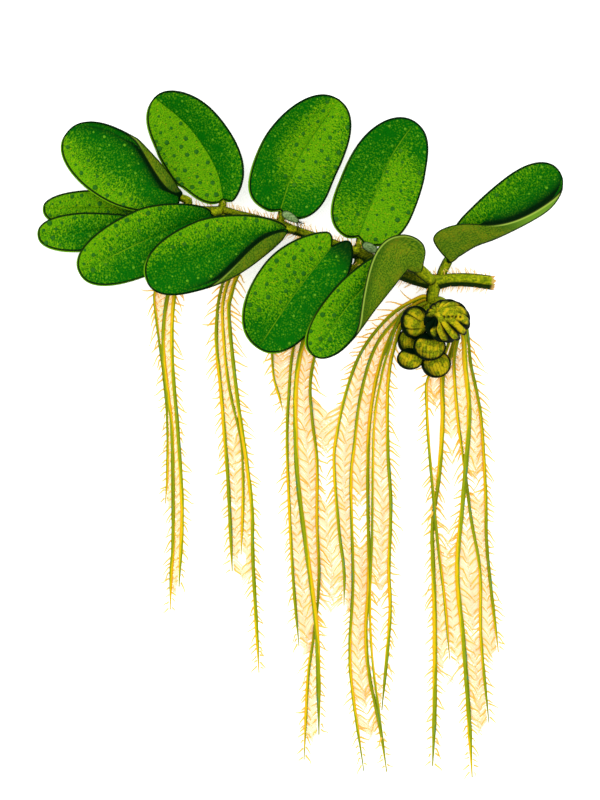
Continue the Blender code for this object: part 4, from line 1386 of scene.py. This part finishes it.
class SalviniaFruits(bpy.types.Operator):
    """Make the ribbed fruits, each on a short stalk"""

    bl_idname = "salvinia.fruits"
    bl_label = "Fruits"

    def execute(self, context):
        settings = context.scene.salvinia_fruit
        end = np.array(STALKS[1][-1])
        for name, fruit in SPOROCARPS.items():
            piece(name + "_skin", fruit_mesh(fruit, settings.groove_depth), [fruit_paint()], [name])
            middle = np.array(fruit.centre)
            below = (middle * 0.6 + end * 0.4) * (1, 1, 0) + (0, 0, min(middle[2], 1.6))
            places, headings, gone = route([end, below, middle], np.linspace(0, 1, FRUIT_STALK_ROWS))
            stalk = tube(places, headings, gone, np.full(FRUIT_STALK_ROWS, FRUIT_STALK_RADIUS), FRUIT_STALK_SIDES)
            piece(name + "_stalk", stalk, [stem_paint()])
        return {"FINISHED"}


def bud_mesh(centre, sizes, heading, left):
    """An egg that lies along its heading."""
    mesh, own = ball(32, 20)
    taper = 1 - 0.25 * own[:, 2:]
    body = own[:, 2:] * heading * sizes[0] + own[:, :1] * left * sizes[1] * taper
    set_places(mesh, np.array(centre) + body + own[:, 1:2] * UP * sizes[2] * taper)
    # Painted shade on the sides and below, written under the name groove.
    set_values(mesh, groove=0.95 * smooth(0.62, 0.38, own[:, 1]))
    return mesh


def bud_hairs(random, centre, sizes, heading, left):
    """Fine hairs that fan out from a bud's tip."""
    hairs = HairRows()
    for _ in range(BUD_HAIRS):
        spread = random.uniform(-0.6, 1)
        out = heading * random.uniform(0.6, 1) + left * spread * 1.1 + UP * random.uniform(0, 0.4)
        foot = np.array(centre) + heading * sizes[0] * 0.7 + left * sizes[1] * spread * 0.5
        hairs.add(foot, out, random.uniform(0.5, 0.9), BUD_HAIR_RADIUS, UP * 0.05, 0.2)
    return hairs


class SalviniaBuds(bpy.types.Operator):
    """Make the two grey-green buds with their fine hairs"""

    bl_idname = "salvinia.buds"
    bl_label = "Buds"

    def execute(self, context):
        for i, (name, (centre, sizes, turn)) in enumerate(BUDS.items()):
            random = np.random.default_rng(BUD_SEED + i)
            heading = np.array((math.cos(math.radians(turn)), math.sin(math.radians(turn)), 0))
            left = np.cross(UP, heading)
            piece(name + "_skin", bud_mesh(centre, sizes, heading, left), [bud_paint()], [name])
            hairs = bud_hairs(random, centre, sizes, heading, left)
            piece(name + "_hairs", hairs.mesh(), [bud_paint()])
        return {"FINISHED"}


# Stage


class SalviniaStage(bpy.types.Operator):
    """Set the pale floor, the soft lights and the camera that looks straight down"""

    bl_idname = "salvinia.stage"
    bl_label = "Stage"

    def execute(self, context):
        settings = context.scene.salvinia_stage
        scene = context.scene
        mesh = bmesh.new()
        bmesh.ops.create_grid(mesh, x_segments=1, y_segments=1, size=FLOOR_HALF_WIDTH)
        data = bpy.data.meshes.new("floor")
        mesh.to_mesh(data)
        mesh.free()
        data.materials.append(floor_paint())
        floor = new_object("floor", data)

        scene.world = bpy.data.worlds.new("studio")
        scene.world.use_nodes = True
        sky = scene.world.node_tree.nodes["Background"]
        sky.inputs["Color"].default_value = (1, 1, 1, 1)
        sky.inputs["Strength"].default_value = settings.sky

        lamp = bpy.data.lights.new("softbox", "AREA")
        lamp.energy = settings.lamp
        lamp.size = LAMP_SIZE
        new_object("softbox", lamp, LAMP_PLACE, LAMP_TURN)

        camera = bpy.data.cameras.new("camera")
        camera.lens = settings.lens
        camera.clip_start, camera.clip_end = CAMERA_RANGE
        distance = settings.view_height * settings.lens / camera.sensor_width
        x, y, _ = (LAYOUT + np.array((0, PICTURE_MIDDLE, 0))) * MM
        scene.camera = new_object("camera", camera, (x, y, distance + CAMERA_LIFT))
        scene.view_settings.view_transform = "Standard"
        return {"FINISHED"}


class SalviniaPanel(bpy.types.Panel):
    """Lists the plant's pieces and their settings"""

    bl_idname = "VIEW3D_PT_salvinia"
    bl_label = "Salvinia"
    bl_space_type = "VIEW_3D"
    bl_region_type = "UI"
    bl_category = "Salvinia"

    def draw(self, context):
        for operator, group in PIECES:
            box = self.layout.box()
            box.operator(operator.bl_idname)
            if group:
                settings = getattr(context.scene, group)
                for name in settings.__annotations__:
                    box.prop(settings, name)


PIECES = (
    (SalviniaStem, "salvinia_stem"),
    (SalviniaLeaves, "salvinia_leaf"),
    (SalviniaThreads, "salvinia_thread"),
    (SalviniaFruits, "salvinia_fruit"),
    (SalviniaBuds, None),
    (SalviniaStage, "salvinia_stage"),
)
GROUPS = {
    "salvinia_leaf": SalviniaLeafSettings,
    "salvinia_stem": SalviniaStemSettings,
    "salvinia_thread": SalviniaThreadSettings,
    "salvinia_fruit": SalviniaFruitSettings,
    "salvinia_stage": SalviniaStageSettings,
}


def register():
    for name, group in GROUPS.items():
        bpy.utils.register_class(group)
        setattr(bpy.types.Scene, name, PointerProperty(type=group))
    for operator, _ in PIECES:
        bpy.utils.register_class(operator)
    bpy.utils.register_class(SalviniaPanel)


def unregister():
    bpy.utils.unregister_class(SalviniaPanel)
    for operator, _ in reversed(PIECES):
        bpy.utils.unregister_class(operator)
    for name, group in GROUPS.items():
        delattr(bpy.types.Scene, name)
        bpy.utils.unregister_class(group)


def main():
    register()
    bpy.ops.salvinia.stage()
    bpy.ops.salvinia.stem()
    bpy.ops.salvinia.leaves()
    bpy.ops.salvinia.threads()
    bpy.ops.salvinia.fruits()
    bpy.ops.salvinia.buds()


if __name__ == "__main__":
    main()
